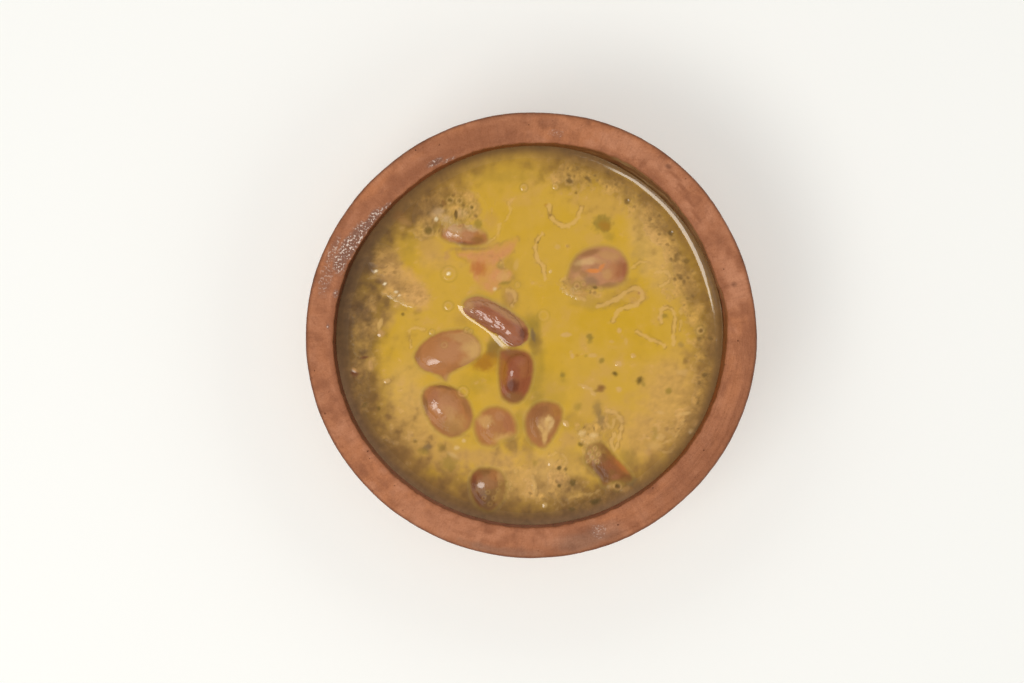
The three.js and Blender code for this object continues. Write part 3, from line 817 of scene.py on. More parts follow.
# Across, down, half sizes, turn, colour, share and how soft the edge is, from 0 to 1.
washes = [
    (520, 165, 60, 16, 0, "topOil", 0.7, 1.0), (440, 200, 40, 18, -30, "foamShade", 0.4, 1.0),
    (520, 480, 70, 34, 0, "tan", 0.9, 1.0), (410, 430, 44, 56, 30, "tan", 0.8, 1.0),
    (560, 470, 44, 30, 10, "tanPale", 0.35, 0.8), (405, 385, 26, 34, 20, "tanPale", 0.4, 0.9),
    (655, 250, 26, 60, -25, "tanPale", 0.6, 0.9), (672, 400, 44, 60, 12, "tan", 0.8, 1.0),
    (640, 440, 40, 40, 0, "tan", 0.7, 1.0), (612, 318, 60, 26, 0, "deepOil", 0.8, 1.0),
    (640, 340, 36, 26, 0, "deepOil", 0.6, 1.0), (500, 200, 36, 24, 0, "deepOil", 0.3, 1.0),
    (423, 340, 26, 32, 10, "oil", 0.5, 1.0), (545, 395, 26, 36, 0, "olive", 0.22, 1.0),
    # The olive wash at (537, 360), right of the dark bean, is partly painted shade.
    (537, 360, 9, 44, 4, "olive", 0.35, 0.9), (485, 372, 22, 18, 0, "deepOil", 0.6, 0.9),
    (520, 424, 7, 20, 6, "olive", 0.35, 0.9), (440, 300, 40, 30, 0, "oil", 0.4, 1.0),
    (640, 252, 9, 26, 8, "olive", 0.2, 0.9), (600, 165, 40, 10, 14, "brown", 0.3, 0.9),
    (655, 212, 34, 10, 50, "foamShade", 0.3, 0.9), (690, 285, 10, 46, -22, "foamShade", 0.4, 0.9),
    (415, 212, 36, 16, -38, "brown", 0.5, 0.9), (372, 335, 16, 30, 6, "brown", 0.3, 0.9),
    (375, 400, 14, 26, -18, "brown", 0.3, 0.9), (415, 465, 40, 12, 42, "brown", 0.3, 0.9),
    (520, 505, 40, 9, 0, "brown", 0.3, 0.9), (612, 490, 40, 14, -22, "brown", 0.35, 0.9),
    (404, 284, 34, 16, 38, "lump", 0.85, 0.6), (386, 262, 16, 18, 30, "lump", 0.6, 0.7),
    (416, 298, 14, 10, 10, "lump", 0.7, 0.6), (440, 262, 30, 12, 6, "tan", 0.5, 0.9),
    (374, 312, 15, 34, 6, "brown", 0.5, 0.9), (366, 266, 13, 20, -30, "brown", 0.55, 0.9),
    (393, 262, 9, 12, 0, "foamShade", 0.4, 0.9), (394, 306, 12, 10, 0, "foamShade", 0.4, 0.9),
    (431, 207, 14, 11, 0, "brown", 0.6, 0.9), (432, 228, 11, 10, 0, "foamShade", 0.4, 0.9),
    (486, 503, 19, 9, 0, "brown", 0.65, 0.9), (580, 483, 16, 9, 10, "brown", 0.45, 0.8),
    (628, 458, 13, 9, 30, "olive", 0.45, 0.9), (388, 442, 12, 15, 40, "brown", 0.5, 0.9),
    (458, 483, 22, 11, 35, "brown", 0.5, 0.9), (512, 442, 9, 13, 0, "foamShade", 0.75, 0.9),
    # The olive and amber washes at (535, 328), (492, 346), (490, 361) and (534, 344), beside and between the
    # beans, are painted shade.
    (448, 460, 15, 11, 10, "foamShade", 0.4, 0.9), (535, 328, 7, 17, -20, "olive", 0.55, 0.9),
    (492, 346, 8, 12, 0, "olive", 0.6, 0.8), (490, 361, 13, 9, 0, "amber", 0.45, 0.8),
    (628, 285, 13, 9, 0, "foamShade", 0.35, 0.9), (590, 302, 22, 9, 6, "olive", 0.3, 0.9),
    (500, 180, 34, 10, 0, "topOil", 0.55, 1.0), (411, 243, 13, 12, 0, "olive", 0.3, 0.9),
    (534, 344, 6, 12, 0, "olive", 0.5, 0.9), (640, 440, 14, 12, 0, "foamShade", 0.2, 1.0),
    (690, 362, 10, 14, 0, "foamShade", 0.35, 0.9), (500, 176, 60, 8, 0, "olive", 0.2, 1.0),
    (446, 463, 24, 15, 20, "foam", 0.45, 0.9), (590, 408, 22, 20, 0, "foam", 0.3, 1.0),
    (606, 206, 34, 16, 10, "foam", 0.3, 1.0), (430, 248, 17, 15, 0, "foam", 0.5, 0.9),
    (388, 320, 10, 13, 0, "foam", 0.4, 0.9), (491, 221, 10, 11, 0, "pink", 0.3, 0.9),
    (592, 300, 26, 10, 0, "foam", 0.2, 1.0), (612, 300, 12, 10, 0, "foamShade", 0.3, 0.9),
    (482, 458, 40, 12, 4, "foam", 0.6, 0.9), (568, 440, 12, 10, 0, "foam", 0.55, 0.9),
    # The brown wash at (494, 350), the amber one at (490, 363) and the warm one at (536, 342) are painted shade
    # beside the beans.
    (450, 452, 26, 20, 20, "foam", 0.35, 1.0), (494, 350, 9, 11, -30, "brown", 0.6, 0.8),
    (490, 363, 15, 13, 0, "amber", 0.45, 0.9), (511, 300, 10, 12, 0, "foamShade", 0.55, 0.9),
    (430, 220, 13, 12, 0, "brown", 0.55, 0.9), (531, 320, 9, 11, 0, "olive", 0.35, 0.9),
    (536, 342, 9, 13, 0, "edgeWarm", 0.45, 0.9), (535, 398, 11, 13, 0, "olive", 0.4, 0.9),
    (528, 445, 9, 11, 0, "foamShade", 0.5, 0.9), (531, 463, 13, 9, 0, "foamShade", 0.35, 0.9),
    (573, 421, 13, 11, 0, "foamShade", 0.3, 0.9), (611, 421, 14, 13, 0, "foamShade", 0.35, 0.9),
    (570, 459, 12, 13, 0, "foamShade", 0.3, 0.9), (587, 463, 8, 13, -20, "brown", 0.4, 0.9),
    (633, 461, 11, 10, 0, "foamShade", 0.35, 0.9), (572, 483, 13, 10, 0, "brown", 0.3, 0.9),
    (610, 486, 12, 7, 0, "brown", 0.5, 0.9), (478, 383, 17, 12, 0, "olive", 0.3, 0.9),
    (508, 274, 14, 24, -10, "foamShade", 0.3, 0.9), (462, 319, 11, 11, 0, "foamShade", 0.25, 0.9),
    (368, 261, 12, 13, 0, "brown", 0.35, 0.9), (410, 257, 13, 11, 0, "olive", 0.22, 0.9),
    (611, 180, 13, 10, 10, "brown", 0.4, 0.9), (650, 202, 13, 9, 40, "foamShade", 0.3, 0.9),
    (711, 303, 8, 15, 0, "brown", 0.4, 0.9), (711, 341, 8, 17, 0, "brown", 0.35, 0.9),
    (406, 459, 24, 9, 45, "edge", 0.35, 0.9), (432, 484, 16, 9, 32, "edge", 0.35, 0.9),
    (490, 507, 14, 8, 0, "edge", 0.4, 0.9), (391, 281, 12, 10, 20, "lump", 0.6, 0.8),
    (490, 246, 13, 8, 0, "pink", 0.35, 0.9),
]
# The froth's places: across, down, half sizes, turn, amount and height.
frothZones = [
    (576, 178, 27, 18, 10, 0.9, 0.15), (626, 190, 22, 12, 35, 0.8, 0.15), (660, 228, 26, 10, 58, 0.8, 0.1),
    (683, 275, 11, 32, -22, 0.9, 0.1), (640, 222, 20, 12, 50, 0.5, 0.1), (667, 290, 14, 22, -10, 0.5, 0.1),
    (704, 345, 12, 40, 2, 0.8, 0.1), (700, 392, 9, 26, 12, 0.6, 0.1), (457, 208, 26, 17, 8, 1.2, 1.5),
    (425, 215, 16, 20, 30, 0.8, 0.4), (425, 233, 9, 9, 0, 0.9, 0.3), (384, 262, 16, 22, -36, 0.8, 0.7),
    (408, 293, 21, 12, 18, 1.1, 0.9), (362, 322, 17, 30, 6, 0.7, 0.3), (367, 358, 12, 26, 0, 0.6, 0.2),
    (366, 392, 14, 26, -18, 0.6, 0.2), (400, 440, 26, 30, 30, 0.4, 0.15), (578, 288, 18, 10, 12, 1.0, 0.8),
    (630, 296, 15, 9, -30, 0.5, 0.3), (594, 452, 10, 12, 20, 1.1, 0.3), (618, 486, 14, 7, -12, 1.0, 0.4),
    (556, 472, 12, 20, 0, 0.6, 0.2), (570, 492, 24, 14, -8, 0.7, 0.3), (600, 425, 14, 18, 10, 0.6, 0.3),
    (535, 492, 18, 14, 0, 0.5, 0.2), (500, 492, 13, 18, 0, 0.8, 0.3), (446, 505, 22, 10, 18, 0.4, 0.1),
    (668, 430, 20, 18, -30, 0.5, 0.2), (690, 425, 12, 16, 20, 0.6, 0.2), (598, 505, 26, 8, -14, 0.8, 0.2),
    (500, 268, 16, 22, 0, 0.35, 0.1), (584, 434, 14, 10, 0, 0.8, 0.3), (686, 315, 10, 18, 0, 0.5, 0.1),
]
# Blurred things that lie in the oil, and small painted highlights in the glow colour: the same numbers as a wash,
# with the height they add.
sunkThings = [
    (479, 268, 9.6, 8, 10, "rust", 0.85, 0.9, 0), (468, 248.6, 20, 2.2, 0, "edgeGrey", 0.55, 0.8, 0),
    (504, 277, 8, 6, -10, "tanPale", 0.5, 0.9, 0), (441, 206, 2.6, 2, 20, "pit", 0.6, 0.8, 0),
    (446, 211, 2, 2.6, 0, "pit", 0.55, 0.8, 0), (463.6, 206, 2.4, 2, -20, "pit", 0.6, 0.8, 0),
    (468, 213, 2.2, 1.8, 0, "pit", 0.55, 0.8, 0), (476, 216, 2, 2.4, 10, "pit", 0.55, 0.8, 0),
    (461, 221, 3, 1.6, 10, "pit", 0.5, 0.8, 0), (438, 213, 7, 6, 0, "heap", 0.7, 0.9, 0.1),
    (447, 219, 7, 4, 10, "heap", 0.6, 0.9, 0.1), (462, 213, 6, 5, 0, "heap", 0.5, 0.9, 0.1),
    (430, 205, 9, 7, 30, "brown", 0.5, 0.9, 0), (500, 266, 4, 3.4, 0, "olive", 0.5, 0.8, 0),
    (504, 283, 7, 1.8, -14, "olive", 0.7, 0.7, 0), (484, 363, 9, 9, 40, "amber", 0.8, 0.6, 0),
    # The glow spots here and below are painted highlights on bubbles and bits.
    (447, 256, 3.4, 7, 14, "pink", 0.6, 0.7, 0.1), (448.6, 273.6, 2, 2, 0, "glow", 0.95, 0.8, 0.2),
    (429.4, 389, 1.8, 1.6, 0, "glow", 0.9, 0.8, 0.2), (460, 396.6, 1.7, 1.7, 0, "glow", 0.95, 0.8, 0.2),
    (376, 271, 1.7, 1.5, 0, "glow", 0.8, 0.8, 0.2), (385, 283.6, 1.6, 1.4, 0, "glow", 0.8, 0.8, 0.2),
    (396, 292, 2, 1.4, 20, "glow", 0.7, 0.8, 0.2), (399.4, 295.4, 1.4, 1.4, 0, "glow", 0.7, 0.8, 0.2),
    (614, 281.6, 1.3, 1.3, 0, "glow", 0.7, 0.8, 0.2), (495, 289, 2, 1.8, 0, "glow", 0.4, 0.8, 0.1),
    (476, 362, 6, 8, 0, "amber", 0.4, 0.8, 0), (602.5, 224, 10.5, 9.5, 10, "olive", 0.8, 0.5, 0),
    (605, 226, 7, 6, 0, "amber", 0.6, 0.8, 0), (609, 236, 7, 5, 40, "olive", 0.4, 0.9, 0),
    (442.4, 448, 5, 4.6, 0, "fleck", 0.5, 0.9, 0), (427, 447.6, 5, 5, -30, "grey", 0.75, 0.7, 0),
    (424, 451, 6, 3.5, 0, "olive", 0.5, 0.8, 0), (448.7, 463, 9.5, 8.5, 0, "olive", 0.55, 0.6, 0),
    (415.4, 440.7, 2.4, 2.4, 0, "fleck", 0.5, 0.8, 0), (365, 391, 10, 10, 0, "brown", 0.7, 0.7, 0),
    (354.5, 373.6, 4, 3.4, 0, "skinDark", 0.7, 0.7, 0), (354.8, 370, 3.4, 1.8, 30, "pink", 0.9, 0.5, 0.2),
    (370.8, 365.5, 2.2, 6, -12, "foam", 0.7, 0.6, 0.2), (364, 357.4, 5, 1.6, -8, "skinDark", 0.6, 0.6, 0),
    (380, 324, 2.4, 6, 14, "tanPale", 0.8, 0.5, 0.25), (381, 333.5, 4, 4.4, 10, "foam", 0.8, 0.5, 0.3),
    (387, 381, 4, 2.6, -10, "tanPale", 0.8, 0.6, 0.2), (364.7, 405.3, 3.4, 3, 0, "fleck", 0.5, 0.8, 0),
    (379, 408.4, 2, 2, 0, "fleck", 0.5, 0.8, 0), (402.7, 314, 2, 2.2, 0, "oliveDark", 0.8, 0.7, 0),
    (428.4, 230.4, 6, 5, 10, "oliveDark", 0.65, 0.85, 0), (399, 216, 8, 6, 0, "skinShade", 0.5, 0.8, 0),
    (405, 222, 7, 4, 20, "pink", 0.35, 0.8, 0), (436.5, 219, 2.4, 2, 0, "glow", 0.6, 0.7, 0.2),
    (456, 214.5, 1.7, 5.4, 0, "pit", 0.9, 0.5, -0.4), (450.2, 200.5, 2.8, 2.4, 20, "oliveDark", 0.6, 0.8, -0.1),
    (459.4, 200.8, 2.4, 2.6, 0, "oliveDark", 0.6, 0.8, -0.1),
    (472, 207.4, 2.4, 2.2, 0, "oliveDark", 0.7, 0.6, -0.2), (478.5, 224, 4.4, 5.4, 0, "olive", 0.7, 0.6, -0.1),
    (444, 203, 3, 4, 0, "skinShade", 0.5, 0.7, 0), (570, 181, 3.8, 2.8, 10, "pit", 0.8, 0.6, -0.3),
    (569, 176, 2, 1.8, 0, "pit", 0.6, 0.7, 0), (587, 177.5, 2.8, 2.2, 0, "pit", 0.7, 0.7, -0.2),
    (576, 193, 1.6, 1.6, 0, "pit", 0.6, 0.6, 0), (590, 181, 1.8, 2.4, 0, "pit", 0.5, 0.7, 0),
    (595, 175.5, 1.6, 1.4, 0, "pit", 0.6, 0.7, 0), (627, 201.5, 3.4, 3.2, 0, "pit", 0.75, 0.7, -0.3),
    (608, 173, 2, 2, 0, "pit", 0.5, 0.7, 0), (616, 184, 2, 1.8, 0, "pit", 0.5, 0.7, 0),
    (639, 195.5, 2, 1.6, 0, "pit", 0.5, 0.7, 0), (670.6, 233, 2.8, 3, 0, "pit", 0.85, 0.6, -0.3),
    (658.6, 216, 1.8, 1.8, 0, "pit", 0.5, 0.7, 0), (677, 257.5, 4, 6, 20, "pit", 0.6, 0.7, -0.2),
    (671, 259.5, 2, 2, 0, "pit", 0.6, 0.7, 0), (686.6, 261, 3.4, 3.2, 0, "pit", 0.6, 0.7, 0),
    (679.6, 276.5, 3.6, 3, 20, "pit", 0.6, 0.7, -0.2), (675.5, 279, 2.4, 2.4, 0, "pit", 0.6, 0.7, 0),
    (684, 282, 2, 2.4, 0, "pit", 0.6, 0.7, 0), (701, 330.5, 2.4, 2.2, 0, "pit", 0.7, 0.6, -0.2),
    (693.4, 295.5, 2.4, 2.4, 0, "pit", 0.5, 0.8, 0), (710.5, 338.5, 3.2, 2.6, 0, "pit", 0.6, 0.7, 0),
    (699, 338.5, 2.6, 2.2, 0, "pit", 0.5, 0.7, 0), (704.2, 374.6, 3, 2.6, 0, "pit", 0.7, 0.7, 0),
    (699, 382.2, 2, 2.6, 0, "pit", 0.6, 0.7, 0), (697.7, 402, 2, 2.8, 0, "pit", 0.5, 0.7, 0),
    (589.6, 336.8, 3.8, 4, 0, "olive", 0.85, 0.7, 0), (590.3, 341.5, 3, 3.2, 0, "olive", 0.5, 0.8, 0),
    (601.7, 360.5, 3.4, 3.2, 0, "olive", 0.8, 0.7, 0), (615.2, 373.8, 2.9, 2.5, 20, "fleck", 0.85, 0.85, 0),
    (639.6, 380.6, 3.6, 4.4, 20, "fleck", 0.85, 0.85, 0), (643, 384, 2.6, 2.4, 0, "olive", 0.6, 0.8, 0),
    (600.7, 388.3, 5, 3.9, -12, "skinShade", 0.9, 0.85, 0), (595.5, 391, 2.4, 2, 0, "brown", 0.5, 0.8, 0),
    (562.7, 375, 3.2, 4, 10, "olive", 0.85, 0.85, 0), (563.4, 380, 3, 3, 0, "olive", 0.35, 0.9, 0),
    (668.6, 391, 3.4, 3.4, 0, "olive", 0.75, 0.8, 0), (686, 360.8, 4.2, 3.6, -10, "brown", 0.6, 0.8, 0),
    (681, 345, 3.6, 3, 0, "grey", 0.4, 0.8, 0), (578, 407, 4.2, 5, 0, "olive", 0.5, 0.8, 0),
    (597, 408, 5, 8, 10, "grey", 0.5, 0.8, 0), (601, 420, 5, 9, -20, "grey", 0.5, 0.8, 0),
    (655.4, 431, 3, 3.6, 0, "olive", 0.4, 0.8, 0), (666.8, 428.8, 2.6, 2.4, 0, "brown", 0.5, 0.8, 0),
    (577, 355.4, 2, 1.6, 0, "amber", 0.4, 0.7, 0), (585.8, 356, 1.8, 1.6, 0, "olive", 0.4, 0.7, 0),
    (580.8, 444.3, 3.2, 2.6, 20, "fleck", 0.7, 0.7, 0), (559.4, 468, 2.6, 2.4, 0, "fleck", 0.8, 0.6, -0.1),
    (565.4, 469, 2.2, 2.2, 0, "fleck", 0.7, 0.7, 0), (572.8, 482.7, 4.4, 4, 0, "fleck", 0.7, 0.8, 0),
    (559.2, 486, 2.4, 2.2, 0, "fleck", 0.75, 0.6, 0), (569, 489, 3, 2.4, 0, "brown", 0.6, 0.8, 0),
    (535, 463, 3, 3.6, 0, "olive", 0.5, 0.9, 0), (594.6, 501.4, 5, 3, -10, "fleck", 0.7, 0.7, 0),
    (571.7, 508.8, 4, 2, 0, "fleck", 0.6, 0.7, 0), (583, 489, 2.4, 2, 0, "brown", 0.4, 0.8, 0),
    (617.6, 486.2, 2.5, 2.3, 0, "pit", 1.0, 0.5, -0.4), (577, 286, 1.6, 1.6, 0, "pit", 0.9, 0.6, -0.2),
    (595.2, 287.3, 2.5, 1.6, 14, "pit", 0.95, 0.5, -0.3), (588, 279, 6, 5, 20, "grey", 0.45, 0.7, 0),
    (639, 293, 1.5, 1.4, 0, "skinRed", 0.8, 0.6, 0), (538, 242.4, 1.5, 1.5, 0, "pit", 0.7, 0.6, 0),
    (550.5, 215, 1.8, 1.8, 0, "pit", 0.6, 0.7, 0), (546.3, 205, 3, 1.6, 0, "amber", 0.5, 0.8, 0),
    (664, 316, 4, 2.6, 0, "olive", 0.6, 0.7, 0), (512.5, 337.5, 2, 2, 0, "olive", 0.2, 0.9, 0),
    # The grey streak at (533, 335) beside the long bean is a painted reflection in the oil's climb.
    (533, 335, 2.6, 7, -14, "grey", 0.8, 0.7, 0), (488, 507, 8, 5, 0, "skinDark", 0.5, 0.8, 0),
    (480, 500, 8, 8, 0, "brown", 0.5, 0.8, 0), (566, 334.6, 6, 2.4, -4, "tanPale", 0.8, 0.4, 0.25),
    (619, 330.8, 2.4, 2.8, 0, "tanPale", 0.9, 0.5, 0.2), (626, 341, 2, 3.4, 0, "tanPale", 0.5, 0.6, 0.1),
    (611.5, 341.5, 2.8, 2, 0, "tanPale", 0.5, 0.6, 0.1), (633.6, 356, 2.8, 2.6, 0, "tanPale", 0.9, 0.5, 0.25),
    (618.5, 363.8, 4.4, 3.4, -8, "tanPale", 1.0, 0.45, 0.3), (592.5, 355.2, 4, 2.4, 0, "tanPale", 0.7, 0.6, 0.2),
    (572.2, 356, 2.2, 2.8, -20, "tanPale", 0.9, 0.5, 0.2), (570.6, 351.8, 1.6, 2, 0, "tanPale", 0.5, 0.6, 0.1),
    (619, 389.8, 3, 3.2, 0, "tanPale", 0.9, 0.5, 0.2), (585.5, 387, 7.5, 2.4, 20, "tanPale", 0.8, 0.5, 0.25),
    (593, 393, 4, 2.4, 48, "tanPale", 0.8, 0.5, 0.2), (582.4, 433, 4, 3, 0, "cream", 0.8, 0.6, 0.3),
    (593.6, 435.4, 4.6, 3.6, -20, "cream", 0.85, 0.6, 0.35), (588, 440, 10, 5, 10, "tanPale", 0.7, 0.8, 0.1),
    (660.8, 412.6, 4, 2.6, 10, "tanPale", 0.7, 0.6, 0.2), (682.5, 372.4, 7, 3.4, 0, "tanPale", 0.6, 0.7, 0.15),
    (683.5, 413.6, 7, 2.2, -8, "tanPale", 0.7, 0.5, 0.2), (566, 423.4, 4.6, 2.4, 42, "tanPale", 0.85, 0.5, 0.25),
    (557.6, 246.8, 3, 2.8, 0, "tanPale", 0.5, 0.6, 0.15), (550.5, 271.4, 1.8, 1.8, 0, "cream", 0.8, 0.6, 0.2),
    (516, 265, 3, 7, 10, "tanPale", 0.5, 0.6, 0.15), (660, 437, 5, 4, -20, "tanPale", 0.7, 0.6, 0.25),
    (654.5, 436, 3, 5, 0, "olive", 0.4, 0.8, -0.1), (655, 446, 8, 5, 0, "tanPale", 0.5, 0.7, 0.2),
    (648, 452, 5, 4, 0, "foam", 0.5, 0.7, 0.2), (697, 424, 5, 5, 20, "foam", 0.6, 0.7, 0.3),
    (692, 431, 4, 3, 0, "cream", 0.4, 0.7, 0.3), (534.5, 488, 2.4, 8, -6, "tanPale", 0.7, 0.6, 0.25),
    (545, 505, 2.4, 3, 0, "cream", 0.5, 0.6, 0.2), (551, 463, 4, 4, 0, "tanPale", 0.5, 0.7, 0.2),
    (560, 478, 5, 5, 0, "foam", 0.5, 0.7, 0.2), (456.8, 447.6, 2.8, 2.2, 0, "cream", 0.8, 0.7, 0.04),
    (463.7, 440.8, 2.2, 2, 0, "cream", 0.8, 0.7, 0.04), (453, 455, 6, 2.6, 30, "cream", 0.4, 0.8, 0.04),
    (612, 322, 5, 2, -12, "tanPale", 0.3, 0.8, 0.1), (632, 482, 6, 5, 0, "grey", 0.5, 0.7, 0.2),
    (611, 485, 4, 4, 0, "foam", 0.7, 0.6, 0.3), (625, 489, 5, 3, -20, "foam", 0.5, 0.7, 0.2),
    (545, 300, 30, 26, 0, "oil", 0.15, 1.0, 0),
]
# Loose skins: width in pixels, strength and the line that each follows.
looseSkins = [
    (5.4, 1.0, [
        (549.4, 205), (550.4, 213), (554, 220), (562, 225.5), (571, 224.5), (578, 218), (581.4, 208),
    ]),
    (4.4, 1.0, [
        (542.5, 234), (537.6, 239), (535.4, 248), (537.4, 258), (543.4, 268), (545, 279),
    ]),
    (5.6, 1.0, [
        (598, 306), (608, 303.4), (619, 297.4), (630, 289.4), (639, 289.6), (643, 296), (637, 304), (625, 307.4),
        (618, 312), (613.5, 320),
    ]),
    (4.6, 1.0, [
        (637, 331.4), (645, 336.4), (655, 341), (665, 346),
    ]),
    (4.2, 1.0, [
        (660.8, 322), (660.8, 311), (667, 307.6), (673.6, 311), (674.6, 322), (673.4, 336), (674, 345),
    ]),
    (3.0, 0.6, [(680.4, 309), (681, 320), (679.6, 330)]),
    (5.0, 0.9, [
        (607, 411), (616, 413.4), (621.4, 421), (620.6, 433), (617.6, 443.6), (614.4, 449), (611.6, 443),
        (614, 434),
    ]),
    (4.0, 0.8, [(606, 424), (612, 427.6), (613.6, 421)]), (3.4, 0.7, [
        (424.6, 329), (411.4, 328.6), (410, 338), (410.6, 347),
    ]),
    (3.0, 0.5, [
        (484, 243), (492, 240), (498, 233), (500, 224),
    ]), (3.0, 0.5, [(509, 203), (510, 213), (505, 221)]),
    (4.0, 0.7, [
        (655.6, 273), (663, 271.4), (669, 275.4), (668, 282), (660, 285.6),
    ]), (3.4, 0.6, [(632, 268), (640, 262), (648, 262)]),
    (5.0, 0.8, [
        (507, 290), (512.6, 291), (515, 298), (512, 305),
    ]), (3.6, 0.8, [(684, 420), (680.6, 428), (676, 436)]), (3.6, 0.7, [(677.6, 415.4), (688, 412.6)]),
    (3.4, 0.6, [
        (563, 287), (569, 293.6), (576, 297.6), (584, 299.4),
    ]), (3.4, 0.6, [(561, 281), (567, 277), (573, 277.4)]), (3.0, 0.5, [(532, 476), (535, 485), (534, 495)]),
    (3.0, 0.5, [
        (663, 444), (670, 440), (675, 446), (668, 452), (660, 450),
    ]), (3.4, 0.5, [
        (566, 500), (580, 495), (592, 494), (600, 490),
    ]),
    (3.0, 0.5, [
        (551, 455), (559, 453), (566, 459), (565, 466),
    ]), (3.0, 0.5, [(390, 262), (398, 268), (398, 277)]), (3.0, 0.4, [(362, 330), (370, 326), (376, 331)]),
]
# Skins torn into patches: colour, share, height and outline.
tornSkins = [
    ("salmon", 0.85, 0.12, [
        (456, 253), (468, 250.4), (484, 249.4), (497, 245), (508, 241), (518, 237.4), (517, 245), (512, 253.6),
        (504, 259), (494, 262.4), (484, 263), (472, 262.4), (463, 258.6),
    ]),
    ("salmon", 0.9, 0.1, [
        (470, 256), (486, 256), (499, 258), (497, 265), (503.6, 270), (511.4, 271), (512, 279), (504.4, 283),
        (499, 288), (492.4, 294), (484, 290), (477, 284.6), (472.4, 275), (470, 266),
    ]),
    ("pink", 0.6, 0.2, [
        (504, 290), (512, 288.6), (517, 292), (516.4, 300), (511, 304), (505.6, 299),
    ]),
    ("pink", 0.5, 0.1, [
        (616, 289), (627, 291), (634, 287.4), (644, 288), (647.4, 295), (643, 303), (634, 307), (626, 302),
        (618, 297),
    ]),
    ("pink", 0.45, 0.1, [
        (566, 280), (576, 281), (583, 287), (590, 293), (584, 298), (574, 297), (566, 290),
    ]),
]
# Rings that bubbles make: across, down, radius and strength.
bubbleRings = [
    (523.9, 187.6, 3.4, 1.0), (555.4, 186.8, 2.8, 0.9), (467.4, 212, 4.2, 1.0), (449, 274, 6.6, 0.8),
    (448.4, 306, 4.2, 0.9), (543.6, 315.6, 5.2, 0.5), (463, 392, 5.0, 0.9), (444.5, 345, 2.8, 0.45),
    (577, 286, 3.4, 0.9), (700.4, 330.6, 4.0, 0.9), (617.6, 486, 4.6, 0.8), (432, 332.5, 2.8, 0.8),
    (466.8, 330, 2.4, 0.9), (470.6, 331.4, 2.2, 0.9), (459.6, 226, 3.0, 0.5), (569, 181, 5.0, 0.5),
    (428, 231, 6.4, 0.6), (473, 207, 4.0, 0.8), (450, 200.5, 4.0, 0.7), (459.4, 200.8, 3.6, 0.7),
    (508.4, 484.6, 2.6, 0.7), (511, 489, 2.2, 0.5), (516, 471, 2.2, 0.5), (517.6, 285, 2.6, 0.6),
    (590, 452, 2.6, 1.0), (595, 448.4, 2.4, 1.0), (592.4, 457, 2.4, 1.0), (598.4, 454, 2.2, 1.0),
    (588.4, 461, 2.2, 0.8), (597, 461, 2.2, 0.8), (488, 492, 2.2, 0.3), (494, 498, 2.4, 0.3), (484, 498, 2.0, 0.3),
    (498, 490, 2.0, 0.3), (490, 504, 2.2, 0.3), (500, 483, 2.0, 0.3), (452, 221, 2.6, 0.7), (459, 223.4, 2.4, 0.6),
    (467, 225, 2.6, 0.7), (474, 227, 2.2, 0.6), (446, 225, 2.2, 0.6), (441, 217, 2.6, 0.5), (583, 284, 2.4, 0.6),
    (589, 288, 2.2, 0.6), (601, 288.6, 2.0, 0.5), (579, 292, 2.4, 0.5), (466, 215.4, 3.0, 0.6),
    (449, 212, 2.4, 0.5),
]
looks = {
    "plumpness": 2.5,
    "lumpSize": 7.0,
    "wrinkleHeight": 0.07,
    "filmDepth": 0.14,  # how far the broth stays under the tops of the beans
    "climbReach": 1.3,
    "litStart": (5, 12),  # degrees round, where the wet edge mirrors the light
    "litEnd": (60, 68),
    # The next four place the painted tint under the highlight of the wall's meniscus.
    "arcReach": 1.45,  # mm that the meniscus takes to fall to a given slope
    "arcClimb": 0.377,  # mm of climb that just has the slope
    "arcShift": 0.1,
    "arcWidth": 0.55,
    "bigBubble": 6.5,  # pixels from one to the next
    "smallBubble": 3.4,
    "bubbleRadius": 0.66,  # of that
    "beanShade": 2.6,  # pixels that the broth is darker beside a bean
    "lineReach": 14,  # pixels within which a bean's outline counts
}
# How high the broth climbs up the wall: degrees round and mm.
wallClimbs = [
    (0, 1.6), (9, 2.3), (15, 2.15), (21, 1.98), (26, 1.78), (31, 1.45), (36, 1.16), (42, 0.98), (50, 1.02),
    (57, 1.14), (65, 1.25), (76, 0.95), (90, 0.85), (345, 0.85), (353, 1.1),
]
climbRound = smoothRound(handTurns, smoothRound([row[0] for row in wallClimbs], [row[1] for row in wallClimbs]))


def rounded(points, closed=True, steps=5):  # a smooth curve through the points
    spots = [np.array(p, float) for p in points]
    line = [spots[-1], *spots, spots[0], spots[1]] if closed else [spots[0], *spots, spots[-1]]
    curve = []
    for a, b, c, d in zip(line, line[1:], line[2:], line[3:]):
        square, cube = 2 * a - 5 * b + 4 * c - d, 3 * b - a - 3 * c + d
        for t in np.arange(steps) / steps:
            curve.append(0.5 * (2 * b + (c - a) * t + square * t * t + cube * t**3))
    curve.append(line[-2])
    return np.array(curve)


def lineGap(across, down, line, reach=14.0, closed=False):  # pixels to a line, negative inside a closed one
    low, high = line.min(0) - reach, line.max(0) + reach
    near = (across > low[0]) & (across < high[0]) & (down > low[1]) & (down < high[1])
    x, y = across[near], down[near]
    nearest, inside = np.full(len(x), 1e9), np.zeros(len(x), bool)
    for (ax, ay), (bx, by) in zip(line, line[1:]):
        dx, dy = bx - ax, by - ay
        t = np.clip(((x - ax) * dx + (y - ay) * dy) / (dx * dx + dy * dy + 1e-9), 0, 1)
        nearest = np.minimum(nearest, np.hypot(x - ax - t * dx, y - ay - t * dy))
        if closed and ay != by:
            inside ^= ((ay > y) != (by > y)) & (x < dx * (y - ay) / dy + ax)
    gaps = np.full(len(across), 99.0)
    gaps[near] = np.where(inside, -nearest, nearest)
    return gaps


def hump(value, width):  # 1 where the value is 0, falling off on both sides
    return np.exp(-((value / width) ** 2))


